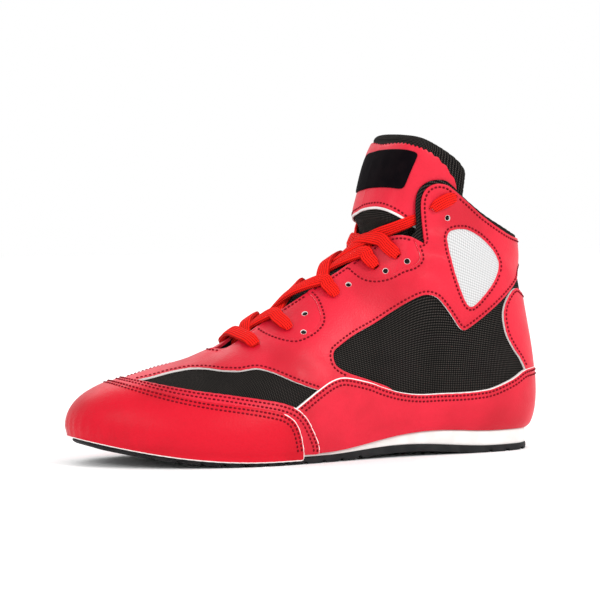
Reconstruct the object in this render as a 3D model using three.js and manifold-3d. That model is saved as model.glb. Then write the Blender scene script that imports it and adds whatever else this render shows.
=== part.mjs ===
// Mixed martial arts shoe for the left foot, in millimetres.
// The toe points along +X, the outer side of the foot along +Y, and the floor is z = 0.
// The origin is on the floor under the middle of the heel's flat pad.
import * as THREE from "three";
import { mergeVertices } from "three/addons/utils/BufferGeometryUtils.js";
import Module from "manifold-3d";

const wasm = await Module();
wasm.setup();

// Overall sizes
const length = 278; // back of the heel to the tip of the toe
const ballWidth = 100; // across the ball of the foot
const height = 180; // floor to the top of the tongue
const heelRest = 22; // back of the heel to the origin

// Sole
const toeSpring = 12; // lift of the sole's underside at the tip of the toe
const archRise = 2.8; // lift of the underside below the arch
const outsoleWaist = 4.1; // rubber under the arch
const outsoleToe = 2.5; // rubber at the tip of the toe
const wedgeHeel = 8.3; // white wedge under the heel
const wedgeFore = 1.5; // white wedge under the ball and toe
const heelFlare = 1.6; // how far the sole stands out past the upper's edge at the heel
const toeTuck = 0.4; // and how far it tucks in under the toe cap
const treadDepth = 1.2;
const treadWidth = 2.4;
const treadPitch = 12;
const insoleThick = 3;

// Upper: one wall, and the panels that lie on it
const wall = 2.2; // fabric and lining
const quarterThick = 1.2;
const eyestayThick = 0.6;
const meshThick = 0.5;
const foxingThick = 1.7;
const counterThick = 1.4;
const mudguardThick = 1.9;
const toeCapThick = 2.5;
const capLapRear = 3.4; // how far the toe cap laps down over the sole behind the ball
const capLapToe = 0.9; // and at the tip of the toe
const eyeletHole = 3;
const eyeletSides = 5; // flats round each punched hole
const tongueThick = 5;
const laceThick = 3.4;
const laceWide = 7.4;

// Clearance between two pieces that touch
const gap = 0.3;

// Lengths along, up and across the shoe, from shares in percent
const along = (share) => (share / 100) * length - heelRest;
const up = (share) => (share / 100) * height;
const across = (share) => (share / 100) * ballWidth;
const shareAlong = (x) => ((x + heelRest) / length) * 100;

// The last, a row for each station round the foot. footX, topX are shares of the length, every Z and Up a share
// of the height, and every Out, Outer and Inner a share of the ball width. facing is the way a station looks,
// in degrees from the toe. foot is the edge on the sole and top the edge above, and between them the wall
// passes near its wall, flank and brow points.
const columns = ["facing", "footX", "footOuter", "footInner", "topX", "topOuter", "topInner", "topZ",
  "wallOut", "wallUp", "flankOut", "flankZ", "browOut", "browZ"];
const stationRows = {
  heelBack: [180, 3.1, 0, 0, 4.5, 0, 0, 68.8, 10.5, 4.6, 9.5, 29.5, -3, 50.5],
  heelCorner: [135, 5.5, 17, 17, 7.6, 17.5, 17.5, 69.4, 9, 4.6, 7.2, 29, -2.5, 51],
  heelSide: [98, 13.8, 26, 26, 16.2, 29.5, 29.5, 76.7, 6, 5.5, 8, 29.5, -2, 53.5],
  ankle: [90, 26.7, 29, 28, 29.7, 32, 31.5, 90.7, 5, 5.5, 8, 29.2, -2, 58.6],
  waist: [90, 40, 33, 29, 36.1, 17, 17, 69.2, 4, 5.5, 6, 27, 13, 56.6],
  instep: [84, 52.8, 40, 35, 45.4, 8.5, 8, 58.9, 4, 5.5, 6, 23.9, 18.5, 50],
  ball: [78, 65.6, 46, 43.5, 54.6, 7, 7, 48.8, 4, 5.5, 5, 19, 22, 40.6],
  fore: [66, 79.5, 42, 43, 62.8, 6.5, 7.5, 40, 4, 6.4, 3.5, 16.4, 25, 29.8],
  toeCorner: [48, 90.2, 28, 36, 68.2, 6, 7, 34.2, 3, 7.3, 0.5, 19.2, 33, 26.2],
  toeSide: [22, 97.1, 11, 24, 70.3, 2, 4.5, 33.4, 2.5, 7.3, -2, 22.6, 43, 24.6],
  toeTip: [0, 99.1, -7, 7, 70.8, -1.5, 1.5, 33.5, 2.5, 7.3, -3, 23.9, 45, 24.5],
};

const clamp = (value) => Math.min(1, Math.max(0, value));
const smooth = (value) => clamp(value) ** 2 * (3 - 2 * clamp(value));

// Heights of the sole's layers at a place along the shoe. The heel and the ball each have a flat pad.
const heelPadEnd = 13.5;
const forePadStart = 54;
const forePadEnd = 66;

function ground(x) {
  const share = shareAlong(x);
  const arch = Math.sin(Math.PI * clamp((share - heelPadEnd) / (forePadStart - heelPadEnd))) ** 2;
  const spring = clamp((share - forePadEnd) / (100 - forePadEnd)) ** 2;
  return archRise * arch + toeSpring * spring;
}

function outsoleTop(x) {
  const fromWaist = (shareAlong(x) - 36) / 64;
  return ground(x) + outsoleWaist - (outsoleWaist - outsoleToe) * fromWaist ** 2;
}

function wedgeTop(x) {
  const heelward = smooth((55.5 - shareAlong(x)) / 35);
  return outsoleTop(x) + wedgeFore + (wedgeHeel - wedgeFore) * heelward;
}

// The stations run from the back of the heel along the outer side to the toe, and back along the inner side
const stations = makeStations();
const turns = stations.length; // the surface's u goes round from 0 to this
const toeTurn = turns / 2;

function makeStations() {
  const rows = Object.values(stationRows).map((row) =>
    Object.fromEntries(columns.map((name, i) => [name, row[i]])));
  const outer = rows.map((row) => station(row, 1));
  const inner = rows.slice(1, -1).reverse().map((row) => station(row, -1));
  return splineControls([...outer, ...inner]);
}

function station(row, side) {
  const facing = THREE.MathUtils.degToRad(row.facing);
  return [
    Math.cos(facing), side * Math.sin(facing),
    along(row.footX), across(side > 0 ? row.footOuter : -row.footInner),
    along(row.topX), across(side > 0 ? row.topOuter : -row.topInner), up(row.topZ),
    across(row.wallOut), up(row.wallUp), across(row.flankOut), up(row.flankZ),
    across(row.browOut), up(row.browZ),
  ];
}

// Controls of the closed cubic spline that passes through the given rows
function splineControls(rows) {
  let controls = rows.map((row) => [...row]);
  for (let pass = 0; pass < 60; pass++) {
    controls = rows.map((row, i) => {
      const before = controls[(i + rows.length - 1) % rows.length];
      const after = controls[(i + 1) % rows.length];
      return row.map((value, k) => (6 * value - before[k] - after[k]) / 4);
    });
  }
  return controls;
}

function stationAt(u) {
  const cell = Math.floor(u);
  const f = u - cell;
  const weights = [(1 - f) ** 3 / 6, (3 * f ** 3 - 6 * f ** 2 + 4) / 6,
    (-3 * f ** 3 + 3 * f ** 2 + 3 * f + 1) / 6, f ** 3 / 6];
  return stations[0].map((_, k) => weights.reduce((sum, weight, j) =>
    sum + weight * stations[(cell + j - 1 + 2 * turns) % turns][k], 0));
}

// A point of the wall's outer face: u goes round the foot, and t from the sole at 0 to the virtual top edge at 1.
// Below 0 the surface hangs straight down, by that share of the height.
function face(u, t) {
  const [facingX, facingY, footX, footY, topX, topY, topZ, wallOut, wallUp, flankOut, flankZ, browOut, browZ] =
    stationAt(u);
  const facing = Math.hypot(facingX, facingY);
  const outX = facingX / facing;
  const outY = facingY / facing;
  const footZ = wedgeTop(footX) + gap;
  const path = [
    [footX, footY, footZ],
    [footX + outX * wallOut, footY + outY * wallOut, footZ + wallUp],
    [footX + outX * flankOut, footY + outY * flankOut, flankZ],
    [topX + outX * browOut, topY + outY * browOut, browZ],
    [topX, topY, topZ],
  ];
  const s = Math.max(0, t);
  const r = 1 - s;
  const weights = [r ** 4, 4 * s * r ** 3, 6 * s ** 2 * r ** 2, 4 * s ** 3 * r, s ** 4];
  const point = [0, 1, 2].map((k) => weights.reduce((sum, weight, j) => sum + weight * path[j][k], 0));
  return new THREE.Vector3(point[0], point[1], point[2] + Math.min(0, t) * height);
}

// The face moved out by a height above it. At the sole it moves level, so that every layer ends at one height.
const levelBand = 0.12;

function layer(u, t, out) {
  const step = 1e-3;
  const s = Math.max(0, t);
  const round = face(u + step, s).sub(face(u - step, s));
  const rise = face(u, Math.min(1, s + step)).sub(face(u, Math.max(0, s - step)));
  const normal = rise.cross(round).normalize();
  normal.z *= smooth(t / levelBand);
  return face(u, t).addScaledVector(normal.normalize(), out);
}

// Where the face passes a place given in side view, on the outer side (1) or the inner side (-1)
function locate(x, z, side) {
  let best = { miss: Infinity };
  const miss = (u, t) => {
    const point = face(side > 0 ? u : turns - u, t);
    return [point.x - x, point.z - z];
  };
  for (let i = 1; i < 40; i++) {
    for (let j = 4; j <= 20; j++) {
      const [dx, dz] = miss((i * toeTurn) / 40, j / 20);
      if (Math.hypot(dx, dz) < best.miss)
        best = { miss: Math.hypot(dx, dz), u: (i * toeTurn) / 40, t: j / 20 };
    }
  }
  let { u, t } = best;
  const step = 1e-3;
  for (let pass = 0; pass < 8; pass++) {
    const [dx, dz] = miss(u, t);
    const [ux, uz] = miss(u + step, t).map((value, k) => (value - [dx, dz][k]) / step);
    const [tx, tz] = miss(u, t - step).map((value, k) => ([dx, dz][k] - value) / step);
    const area = ux * tz - uz * tx;
    u -= (dx * tz - dz * tx) / area;
    t = Math.min(1, t - (ux * dz - uz * dx) / area);
  }
  return { u: side > 0 ? u : turns - u, t };
}

// Solids from meshes, and back
function solid(geometry) {
  const bare = geometry.index ? geometry.toNonIndexed() : geometry.clone();
  bare.deleteAttribute("normal");
  bare.deleteAttribute("uv");
  const merged = mergeVertices(bare, 1e-4);
  const corners = merged.index.array;
  const kept = [];
  for (let i = 0; i < corners.length; i += 3) {
    const [a, b, c] = corners.slice(i, i + 3);
    if (a !== b && b !== c && c !== a) kept.push(a, b, c);
  }
  return new wasm.Manifold(new wasm.Mesh({
    numProp: 3,
    vertProperties: merged.attributes.position.array,
    triVerts: new Uint32Array(kept),
  }));
}

function geometryOf(body) {
  const mesh = body.getMesh();
  const positions = [];
  for (let i = 0; i < mesh.numVert; i++)
    positions.push(...mesh.vertProperties.subarray(i * mesh.numProp, i * mesh.numProp + 3));
  const geometry = new THREE.BufferGeometry();
  geometry.setAttribute("position", new THREE.Float32BufferAttribute(positions, 3));
  geometry.setIndex([...mesh.triVerts]);
  geometry.computeVertexNormals();
  return geometry;
}

// A closed solid from quads, each given by four corners in turn as seen from outside
function fromQuads(quads) {
  const corners = quads.flatMap(([a, b, c, d]) => [a, b, c, a, c, d]);
  const geometry = new THREE.BufferGeometry();
  geometry.setAttribute("position",
    new THREE.Float32BufferAttribute(corners.flatMap((point) => point.toArray()), 3));
  return solid(geometry);
}

// A ring of wall round the whole foot, between two heights above the face
const shellAround = 40;
const shellUp = 6;

function shell(inner, outer, lowest = () => 0) {
  const grid = (out) => Array.from({ length: shellAround }, (_, i) => {
    const u = (i * turns) / shellAround;
    return Array.from({ length: shellUp + 1 }, (_, j) =>
      layer(u, lowest(u) + ((1 - lowest(u)) * j) / shellUp, out));
  });
  const inside = grid(inner);
  const outside = grid(outer);
  const quads = [];
  for (let i = 0; i < shellAround; i++) {
    const next = (i + 1) % shellAround;
    for (let j = 0; j < shellUp; j++) {
      quads.push([outside[i][j], outside[i][j + 1], outside[next][j + 1], outside[next][j]]);
      quads.push([inside[i][j], inside[next][j], inside[next][j + 1], inside[i][j + 1]]);
    }
    quads.push([inside[i][0], outside[i][0], outside[next][0], inside[next][0]]);
    quads.push([outside[i][shellUp], inside[i][shellUp], inside[next][shellUp], outside[next][shellUp]]);
  }
  return fromQuads(quads);
}

// A solid between a lower and an upper grid of points, both seen from above with i along X and j along Y
function gridSolid(lower, upper) {
  const last = lower.length - 1;
  const edge = lower[0].length - 1;
  const quads = [];
  for (let i = 0; i < last; i++) {
    for (let j = 0; j < edge; j++) {
      quads.push([upper[i][j], upper[i + 1][j], upper[i + 1][j + 1], upper[i][j + 1]]);
      quads.push([lower[i][j], lower[i][j + 1], lower[i + 1][j + 1], lower[i + 1][j]]);
    }
    quads.push([lower[i][0], lower[i + 1][0], upper[i + 1][0], upper[i][0]]);
    quads.push([lower[i + 1][edge], lower[i][edge], upper[i][edge], upper[i + 1][edge]]);
  }
  for (let j = 0; j < edge; j++) {
    quads.push([lower[0][j + 1], lower[0][j], upper[0][j], upper[0][j + 1]]);
    quads.push([lower[last][j], lower[last][j + 1], upper[last][j + 1], upper[last][j]]);
  }
  return fromQuads(quads);
}

// Everything behind a side-view outline, from one place across the shoe to another
const farInner = across(-80);
const farOuter = across(80);

function sideCut(outline, from = farInner, to = farOuter) {
  const shape = new THREE.Shape(outline.map(([x, z]) => new THREE.Vector2(along(x), up(z))));
  const geometry = new THREE.ExtrudeGeometry(shape, { depth: to - from, bevelEnabled: false });
  geometry.rotateX(Math.PI / 2);
  geometry.translate(0, to, 0);
  return solid(geometry);
}

// The same with each side's own outline
const sidesCut = (outline) => sideCut(outline, 0).add(sideCut(lowered(outline), farInner, 0));

// A smooth curve through chosen side-view points
const curve = (points, perPoint = 2) =>
  new THREE.SplineCurve(points.map(([x, z]) => new THREE.Vector2(x, z)))
    .getPoints(points.length * perPoint)
    .map((point) => [point.x, point.y]);

// A closed outline moved out by a distance in millimetres, or in where it is negative
function grown(outline, distance) {
  const points = outline.map(([x, z]) => new THREE.Vector2(along(x), up(z)));
  const turn = Math.sign(THREE.ShapeUtils.area(points));
  return points.map((point, i) => {
    const before = points[(i + points.length - 1) % points.length];
    const after = points[(i + 1) % points.length];
    const run = after.clone().sub(before).normalize();
    const moved = new THREE.Vector2(run.y * turn, -run.x * turn).multiplyScalar(distance).add(point);
    return [shareAlong(moved.x), (moved.y / height) * 100];
  });
}

// Side-view outlines, in shares of the length and of the height
const throatEdge = curve([[71, 36.6], [68.3, 35.4], [65.9, 36.9], [63, 39.9], [58.5, 44.4], [52, 50.9],
  [48.8, 54.1], [44, 58.5], [40, 62.5], [38, 64.9], [36.1, 67.4], [34.4, 68.3], [32.8, 67.9]], 1);
const tabEdge = curve([[30.4, 65.7], [30.6, 69.6], [30.8, 73.3], [30.9, 76.9], [30.7, 80.1], [29.8, 82.7],
  [28, 84.1], [26, 83.9], [24.4, 82.6], [20, 77.5], [17.2, 74.2], [13.4, 70.7], [9.9, 68.1], [7, 66.9],
  [4, 66.4], [-4, 66.2]], 1);
const liningEdge = curve([[32.1, 69.2], [31.8, 71.8], [31.9, 75.8], [31.8, 79.7], [31.1, 82.7], [29.4, 84.7],
  [27.2, 85.3], [25, 84.6], [21.6, 80.2], [18.3, 76.5], [15.2, 73.6], [12, 71.2], [9, 69.2], [6.6, 68],
  [4, 67.6], [-4, 67.4]], 1);
const below = [[-4, -10], [112, -10], [112, 37]];
const quarterTop = [...below, ...throatEdge, ...tabEdge];
const upperTop = [...below, ...throatEdge, ...liningEdge];

// On the inner side the throat's edge, and what lies along it, sits a little lower
const innerFall = 1.8;
const lowered = (outline) => outline.map(([x, z]) =>
  [x, z - innerFall * smooth((69 - x) / 8) * smooth((x - 33) / 6)]);

const sidePanel = [...curve([[36.4, 14.7], [38.1, 21], [43.2, 24.3], [48, 26.7], [50.4, 28.7], [51.1, 30.8],
  [50.9, 33.1], [49.5, 34.8], [45.9, 38.1], [41.4, 41.4], [37.4, 44.9], [34.3, 47.6], [31.6, 49.5], [29.7, 50],
  [27.7, 48.9], [25.8, 45.8], [24.1, 42.3], [22.9, 39.7], [22, 38.8], [20.9, 39.2], [17, 42.9], [13.1, 47],
  [10, 50.5], [7.5, 53.8], [4.9, 57.2], [1, 59.6]], 1), [-4, 60], [-4, 15]];
const toeMesh = [...curve([[89.2, 24.8], [85.4, 26.9], [81, 28.8], [77.6, 29.8], [75.1, 29.8], [72.3, 28.8],
  [69.7, 28.4], [67.1, 29.2], [65.6, 28.9], [62.8, 27.1], [59.3, 24.3], [55.1, 22]], 1),
  [54, 15.1], [62, 8.9], [84, 16.6], [89.4, 23.4]];
const heelWindow = curve([[23.4, 70.1], [24.9, 69.4], [25.6, 67.6], [25.3, 65], [23.9, 57], [21.9, 49],
  [20.6, 46.1], [19.2, 46.5], [16.4, 50.3], [14.1, 54.5], [13.1, 58.9], [14.1, 62.3], [15.9, 65.3], [18.2, 68],
  [21, 69.9], [23.4, 70.1]], 1).slice(0, -1);
const frontScallop = [...curve([[53.4, 52.9], [51.9, 49.3], [51.7, 46], [52, 42.5], [53.4, 40.1],
  [55.4, 38.2], [57.8, 36.9], [59.9, 37.3], [61.5, 38.7], [62.4, 40.9]], 1), [64.5, 44.5], [58, 51.6]];
const rearScallop = [...curve([[32.7, 68.8], [31.8, 64.8], [31.3, 61.4], [32.4, 59.2], [34.6, 57.9], [36.8, 55.8],
  [39.2, 54.8], [41.3, 55.1], [42.7, 56.8], [43.7, 59.5]], 1), [46, 62.8], [40, 69.9]];
const foxing = [[62, 10.9], ...curve([[60.8, 16.8], [58, 19.5], [55.5, 21.9], [53.3, 23.8], [51.6, 24.9],
  [49.8, 25.5], [47.5, 25.2], [43.3, 23.7], [40.4, 22.1], [36.4, 20.4], [31.9, 19.5], [27.2, 19.5],
  [21.6, 19.5], [17.9, 19.8], [14.8, 20.5], [10, 23], [6.8, 25.3], [4, 25.8], [0, 25.9]], 1),
  [-4, 24.8], [-4, -10], [62, -10]];
const mudguard = [[55.2, -10], ...curve([[55.2, 3.7], [55.5, 6.1], [56.1, 8.1], [57, 10.7], [58, 13.4],
  [59.3, 15.6], [61, 17.3], [63.8, 18.7], [67.7, 19.7], [71.5, 20.5], [76.1, 21.4], [80.9, 22.7], [85.5, 24],
  [88.3, 24.9], [91.2, 25.5]], 1), [97, 29], [112, 29], [112, -10]];
const toeCap = [[58.9, -10], ...curve([[58.9, 3.6], [59.3, 6.6], [60, 10.2], [61, 13.1], [62.7, 15.1],
  [64.7, 16.1], [67.8, 17], [71.6, 17.8], [76.8, 18.8], [81.5, 20.2], [86, 21.9], [90.4, 23.6],
  [92.6, 24.8]], 1), [97, 28], [112, 28], [112, -10]];
const heelCounter = [...curve([[-4, 47.4], [0, 48.5], [3.4, 48.5], [5.5, 49.5], [7.6, 51], [9.3, 50.3],
  [11.1, 47.6], [12.1, 43.7], [11.8, 39.3], [11, 35.9], [9.3, 32], [7.6, 28.9], [6.2, 25.5]], 1),
  [5, 20.6], [-4, 20]];

// Holes for the lace, in side view: the shoe carries them on both sides
const eyelets = [[64.9, 35.2], [58.3, 40.6], [48.1, 50.3], [39.3, 59], [35.4, 62.7], [28.4, 76.9]];
const spareEyelets = [[55.9, 39], [54.4, 44.4], [44.9, 52.9], [37.5, 57.2], [33.7, 60.3], [25.8, 73.7],
  [24.4, 80.6]];

function eyeletPunches(list) {
  return [1, -1].flatMap((side) => (side > 0 ? list : lowered(list)).map(([x, z]) => {
    const { u, t } = locate(along(x), up(z), side);
    const centre = layer(u, t, 0);
    const axis = layer(u, t, 1).sub(centre);
    const punch = new THREE.CylinderGeometry(eyeletHole / 2, eyeletHole / 2, 4 * wall, eyeletSides);
    punch.applyQuaternion(new THREE.Quaternion().setFromUnitVectors(new THREE.Vector3(0, 1, 0), axis));
    punch.translate(centre.x, centre.y, centre.z);
    return solid(punch);
  }));
}

// Takes a list of solids out of one, or adds them to it
const without = (body, cuts) => cuts.reduce((left, cut) => left.subtract(cut), body);
const joined = (bodies) => bodies.reduce((whole, body) => whole.add(body));

// The sole's layers follow the foot's edge, moved out by an outset that fades from heel to toe
const soleSteps = 28;
const soleAcross = 1;

function soleLayer(outset, bottom, top) {
  const rows = (heightAt) => Array.from({ length: soleSteps + 1 }, (_, i) => {
    const u = (i * toeTurn) / soleSteps;
    const [outer, inner] = [u, turns - u].map((turn) => {
      const edge = layer(turn, 0, 0);
      return layer(turn, 0, outset(edge.x));
    });
    return Array.from({ length: soleAcross + 1 }, (_, j) => {
      const point = inner.clone().lerp(outer, j / soleAcross);
      return point.setZ(heightAt(point.x));
    });
  });
  return gridSolid(rows(bottom), rows(top));
}

function flare(x) {
  const share = shareAlong(x);
  return heelFlare * smooth((50 - share) / 30) - toeTuck * smooth((share - 50) / 8);
}

// Grooves across the heel and ball, spaced evenly about the middle of each flat pad
const foreRest = along((forePadStart + forePadEnd) / 2);
const treadRuns = [[0, -2, 1], [foreRest, -4, 6]];

function treadGrooves() {
  return treadRuns.flatMap(([middle, first, last]) =>
    Array.from({ length: last - first + 1 }, (_, i) => {
      const x = middle + (first + i + 0.5) * treadPitch;
      const slope = Math.atan2(ground(x + 1) - ground(x - 1), 2);
      const groove = new THREE.BoxGeometry(treadWidth, farOuter - farInner, 2 * treadDepth);
      groove.rotateY(-slope);
      groove.translate(x, 0, ground(x));
      return solid(groove);
    }));
}

// The tongue's middle line and sections. place is a share of the length and rise of the height, tilt is the way
// its outer face looks, in degrees up from the toe, half and depth are shares of the ball width, and square
// goes from a round section at 0 to a flat front with wrapped sides at 1.
const tongueColumns = ["place", "rise", "tilt", "half", "depth", "square"];
const tongueRows = [
  [77.8, 27.1, 75, 17, 7, 0],
  [74, 28.9, 73, 18, 9, 0],
  [71.3, 30.2, 68, 18, 11, 0],
  [69, 31.8, 60, 18, 13, 0],
  [66.6, 34.7, 55, 18.5, 16, 0],
  [63.6, 38.1, 55, 18.5, 17, 0],
  [59.4, 42.7, 56, 19, 17, 0],
  [53.2, 49.7, 56, 19.5, 18, 0],
  [49.8, 53.6, 56, 20, 19, 0.1],
  [45, 58.2, 54, 19.5, 21, 0.2],
  [40.9, 62.4, 46, 19.5, 25, 0.3],
  [38.7, 66.2, 30, 21.5, 29, 0.5],
  [38.2, 70.3, 8, 24, 38, 0.7],
  [38.8, 74.6, 8, 26.5, 44, 0.9],
  [37.5, 81.8, 16, 27, 47, 1],
  [35.9, 89.8, 17, 29.5, 44.5, 1],
  [34.1, 96.3, 17, 30.5, 40, 1],
  [32.7, 100, 18, 30, 34, 1],
];
const roundHalf = [[0, 0], [0.38, 0.075], [0.7, 0.29], [0.92, 0.61], [1, 1]];
const squareHalf = [[0, 0], [0.45, 0.03], [0.84, 0.14], [1, 0.42], [0.97, 1]];
const cornerDrop = 0.08; // how far the top corners fall, as a share of the tongue's run
const cornerPower = 6;

function tonguePoint(s, v) {
  const drop = cornerDrop * Math.abs(s) ** cornerPower;
  const at = v * (1 - drop);
  const [place, rise, tilt, half, depth, square] = tongueColumns.map((_, k) => spline(tongueRows, k, at));
  const run = Math.abs(s) * 4;
  const blend = (k) => THREE.MathUtils.lerp(splineAt(roundHalf, k, run), splineAt(squareHalf, k, run), square);
  const turned = THREE.MathUtils.degToRad(tilt);
  const sink = across(depth) * blend(1);
  return new THREE.Vector3(along(place) - sink * Math.cos(turned), Math.sign(s) * across(half) * blend(0),
    up(rise) - sink * Math.sin(turned));
}

// A smooth curve through one column of a table, at a share of the table or at a row number
function spline(rows, column, share) {
  return splineAt(rows, column, share * (rows.length - 1));
}

function splineAt(rows, column, place) {
  const cell = Math.min(rows.length - 2, Math.floor(place));
  const f = place - cell;
  const value = (i) => rows[Math.min(rows.length - 1, Math.max(0, i))][column];
  const [a, b, c, d] = [cell - 1, cell, cell + 1, cell + 2].map(value);
  return b + 0.5 * f * (c - a + f * (2 * a - 5 * b + 4 * c - d + f * (3 * (b - c) + d - a)));
}

const tongueSteps = 20;
const tongueAcross = 8;
const tongueRim = 0.45; // thickness at the rim, as a share of the whole

function makeTongue() {
  const rows = (inward) => Array.from({ length: tongueSteps + 1 }, (_, i) =>
    Array.from({ length: tongueAcross + 1 }, (_, j) => {
      const v = i / tongueSteps;
      const s = (2 * j) / tongueAcross - 1;
      const step = 1e-3;
      const run = tonguePoint(s, Math.min(1, v + step)).sub(tonguePoint(s, Math.max(0, v - step)));
      const round = tonguePoint(Math.min(1, s + step), v).sub(tonguePoint(Math.max(-1, s - step), v));
      const normal = round.cross(run).normalize();
      const rim = Math.max(Math.abs(s), Math.abs(2 * v - 1));
      const thick = tongueThick * (1 - (1 - tongueRim) * rim ** 8);
      return tonguePoint(s, v).addScaledVector(normal, -inward * thick);
    }));
  // The rows run back from the toe, so the grid is turned to lie along X
  return gridSolid(rows(1).reverse(), rows(0).reverse());
}

// Bars of lace between the eyelets of the two sides, over the tongue. laceArch is how far a bar's middle stands
// above the throat's two edges, at each level of eyelets from the toe up.
const laceClear = [1, 1, 1, 1, 2]; // between a bar and the leather under it, at each level
const laceAbove = gap + quarterThick + laceThick / 2;
const laceArch = [1.6, 1.4, 1.6, 2.2, 3.4];
const laceSteps = 6;
const laceSection = [[-1, 0.5], [0, 1], [1, 0.5]]; // across the lace, and its thickness there, in halves
const throatUp = new THREE.Vector3(0.54, 0, 0.84);
const lipReach = [3, 5.5, 6.5, 6, 8]; // from an eyelet of each level to the throat's edge

function laceBar(outerLevel, innerLevel) {
  const ends = [[innerLevel, -1], [outerLevel, 1]].map(([level, side]) => {
    const [[shareX, shareZ]] = side > 0 ? [eyelets[level]] : lowered([eyelets[level]]);
    const [x, z] = [along(shareX), up(shareZ)];
    return [0, 0.5, 1].map((share) => {
      const reach = share * lipReach[level];
      const { u, t } = locate(x + reach * throatUp.x, z + reach * throatUp.z, side);
      return layer(u, t, laceAbove + laceClear[level]);
    });
  });
  const [inner, outer] = ends;
  const arch = (laceArch[outerLevel] + laceArch[innerLevel]) / 2;
  const crown = outer[2].clone().lerp(inner[2], 0.5).addScaledVector(throatUp, arch);
  const path = new THREE.CatmullRomCurve3([...inner, crown, ...outer.reverse()]);
  const rows = (side) => laceSection.map(([share, thick]) =>
    Array.from({ length: laceSteps + 1 }, (_, j) => {
      const run = path.getTangentAt(j / laceSteps);
      const wide = run.clone().cross(throatUp).normalize();
      const lift = wide.clone().cross(run).normalize();
      return path.getPointAt(j / laceSteps).addScaledVector(wide, (share * laceWide) / 2)
        .addScaledVector(lift, (side * thick * laceThick) / 2);
    }));
  return gridSolid(rows(-1), rows(1));
}

const laceLevels = 5;

function makeLacing() {
  const bars = [laceBar(0, 0)];
  for (let level = 1; level < laceLevels; level++) {
    bars.push(laceBar(level, level - 1), laceBar(level - 1, level));
  }
  return joined(bars);
}

// Materials: colour, roughness and metalness of each finish
const finish = (color, roughness) => new THREE.MeshStandardMaterial({ color, roughness, metalness: 0 });
const redLeather = finish(0xe8394c, 0.45);
const blackMesh = finish(0x1b1917, 0.9);
const whiteMesh = finish(0xeeeeea, 0.85);
const whiteFoam = finish(0xf2f2ee, 0.7);
const blackRubber = finish(0x1e1e1f, 0.65);
const redLace = finish(0xec2f1f, 0.8);
const greyLining = finish(0x2a2a2b, 0.95);

const shoe = new THREE.Group();

function add(name, body, material) {
  const mesh = new THREE.Mesh(geometryOf(body), material);
  mesh.name = name;
  shoe.add(mesh);
}

// A panel that lies on the wall, kept inside one outline and cut clear of others
const panel = (thick, outline, cuts, lowest) =>
  without(shell(gap, gap + thick, lowest).intersect(sidesCut(outline)), cuts);

const overCap = sideCut(grown(toeCap, gap));
const overMudguard = sideCut(grown(mudguard, gap));
const overFoxing = sideCut(grown(foxing, gap));
const laced = eyeletPunches(eyelets);
const spare = eyeletPunches(spareEyelets);
const holes = [...laced, ...spare];

// The toe cap laps furthest at its rear corners
const capLap = (u) => {
  const rearward = smooth(Math.abs(u - toeTurn) / 4.5);
  return -THREE.MathUtils.lerp(capLapToe, capLapRear, rearward) / height;
};

add("outsole", without(soleLayer(flare, ground, outsoleTop), treadGrooves()), blackRubber);
add("midsole", soleLayer((x) => flare(x) - 0.2 * heelFlare, (x) => outsoleTop(x) + gap, wedgeTop), whiteFoam);
add("insole", soleLayer(() => -(wall + 3 * gap), (x) => wedgeTop(x) + gap,
  (x) => wedgeTop(x) + gap + insoleThick), greyLining);
add("upper", without(shell(-wall, 0).intersect(sidesCut(upperTop)), holes), blackMesh);
add("toe_cap", panel(toeCapThick, toeCap, [], capLap), redLeather);
add("mudguard", panel(mudguardThick, mudguard, [overCap]), redLeather);
add("foxing", panel(foxingThick, foxing, [overMudguard]), redLeather);
add("quarter", panel(quarterThick, quarterTop, [overMudguard, overFoxing, sideCut(sidePanel), sideCut(toeMesh),
  sideCut(heelWindow), sidesCut(frontScallop), sidesCut(rearScallop), ...holes]), redLeather);
add("heel_counter", panel(counterThick, heelCounter, [overFoxing]), redLeather);

// Pieces that the shoe carries once on each side
const trimTop = sidesCut(grown(quarterTop, -gap));
const sides = [
  ["outer", gap, farOuter, (list) => list],
  ["inner", farInner, -gap, lowered],
];
for (const [side, from, to, own] of sides) {
  const inlay = (thick, outline, cuts) =>
    without(shell(gap, gap + thick).intersect(sideCut(grown(own(outline), -gap), from, to)), cuts);
  add("window_mesh_" + side, inlay(meshThick, heelWindow, []), whiteMesh);
  add("front_eyestay_" + side, inlay(eyestayThick, frontScallop, holes).intersect(trimTop), redLeather);
  add("rear_eyestay_" + side, inlay(eyestayThick, rearScallop, holes).intersect(trimTop), redLeather);
}

// The tongue is pressed against the inside of the wall
add("tongue", makeTongue().subtract(shell(-wall - gap, 0).intersect(sidesCut(upperTop))), blackMesh);
add("lacing", makeLacing(), redLace);

export default shoe;
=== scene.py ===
import math
from collections import defaultdict

import bmesh
import bpy
import numpy as np
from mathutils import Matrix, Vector, kdtree
from mathutils.geometry import delaunay_2d_cdt


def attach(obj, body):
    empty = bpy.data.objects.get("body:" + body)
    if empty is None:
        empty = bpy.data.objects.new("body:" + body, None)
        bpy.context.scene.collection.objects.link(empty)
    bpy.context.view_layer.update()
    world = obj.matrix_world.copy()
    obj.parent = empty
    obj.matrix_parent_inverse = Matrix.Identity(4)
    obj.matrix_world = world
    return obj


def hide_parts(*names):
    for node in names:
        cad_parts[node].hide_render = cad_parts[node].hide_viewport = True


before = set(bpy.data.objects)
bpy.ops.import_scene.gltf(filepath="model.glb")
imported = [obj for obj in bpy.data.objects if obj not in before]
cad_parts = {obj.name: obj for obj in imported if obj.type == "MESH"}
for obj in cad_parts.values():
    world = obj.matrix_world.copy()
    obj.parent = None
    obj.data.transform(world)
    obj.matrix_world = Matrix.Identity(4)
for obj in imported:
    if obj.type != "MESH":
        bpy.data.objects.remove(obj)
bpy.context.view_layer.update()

# Sizes in millimetres, as in the solid model
LENGTH = 278.0
BALL_WIDTH = 100.0
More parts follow.
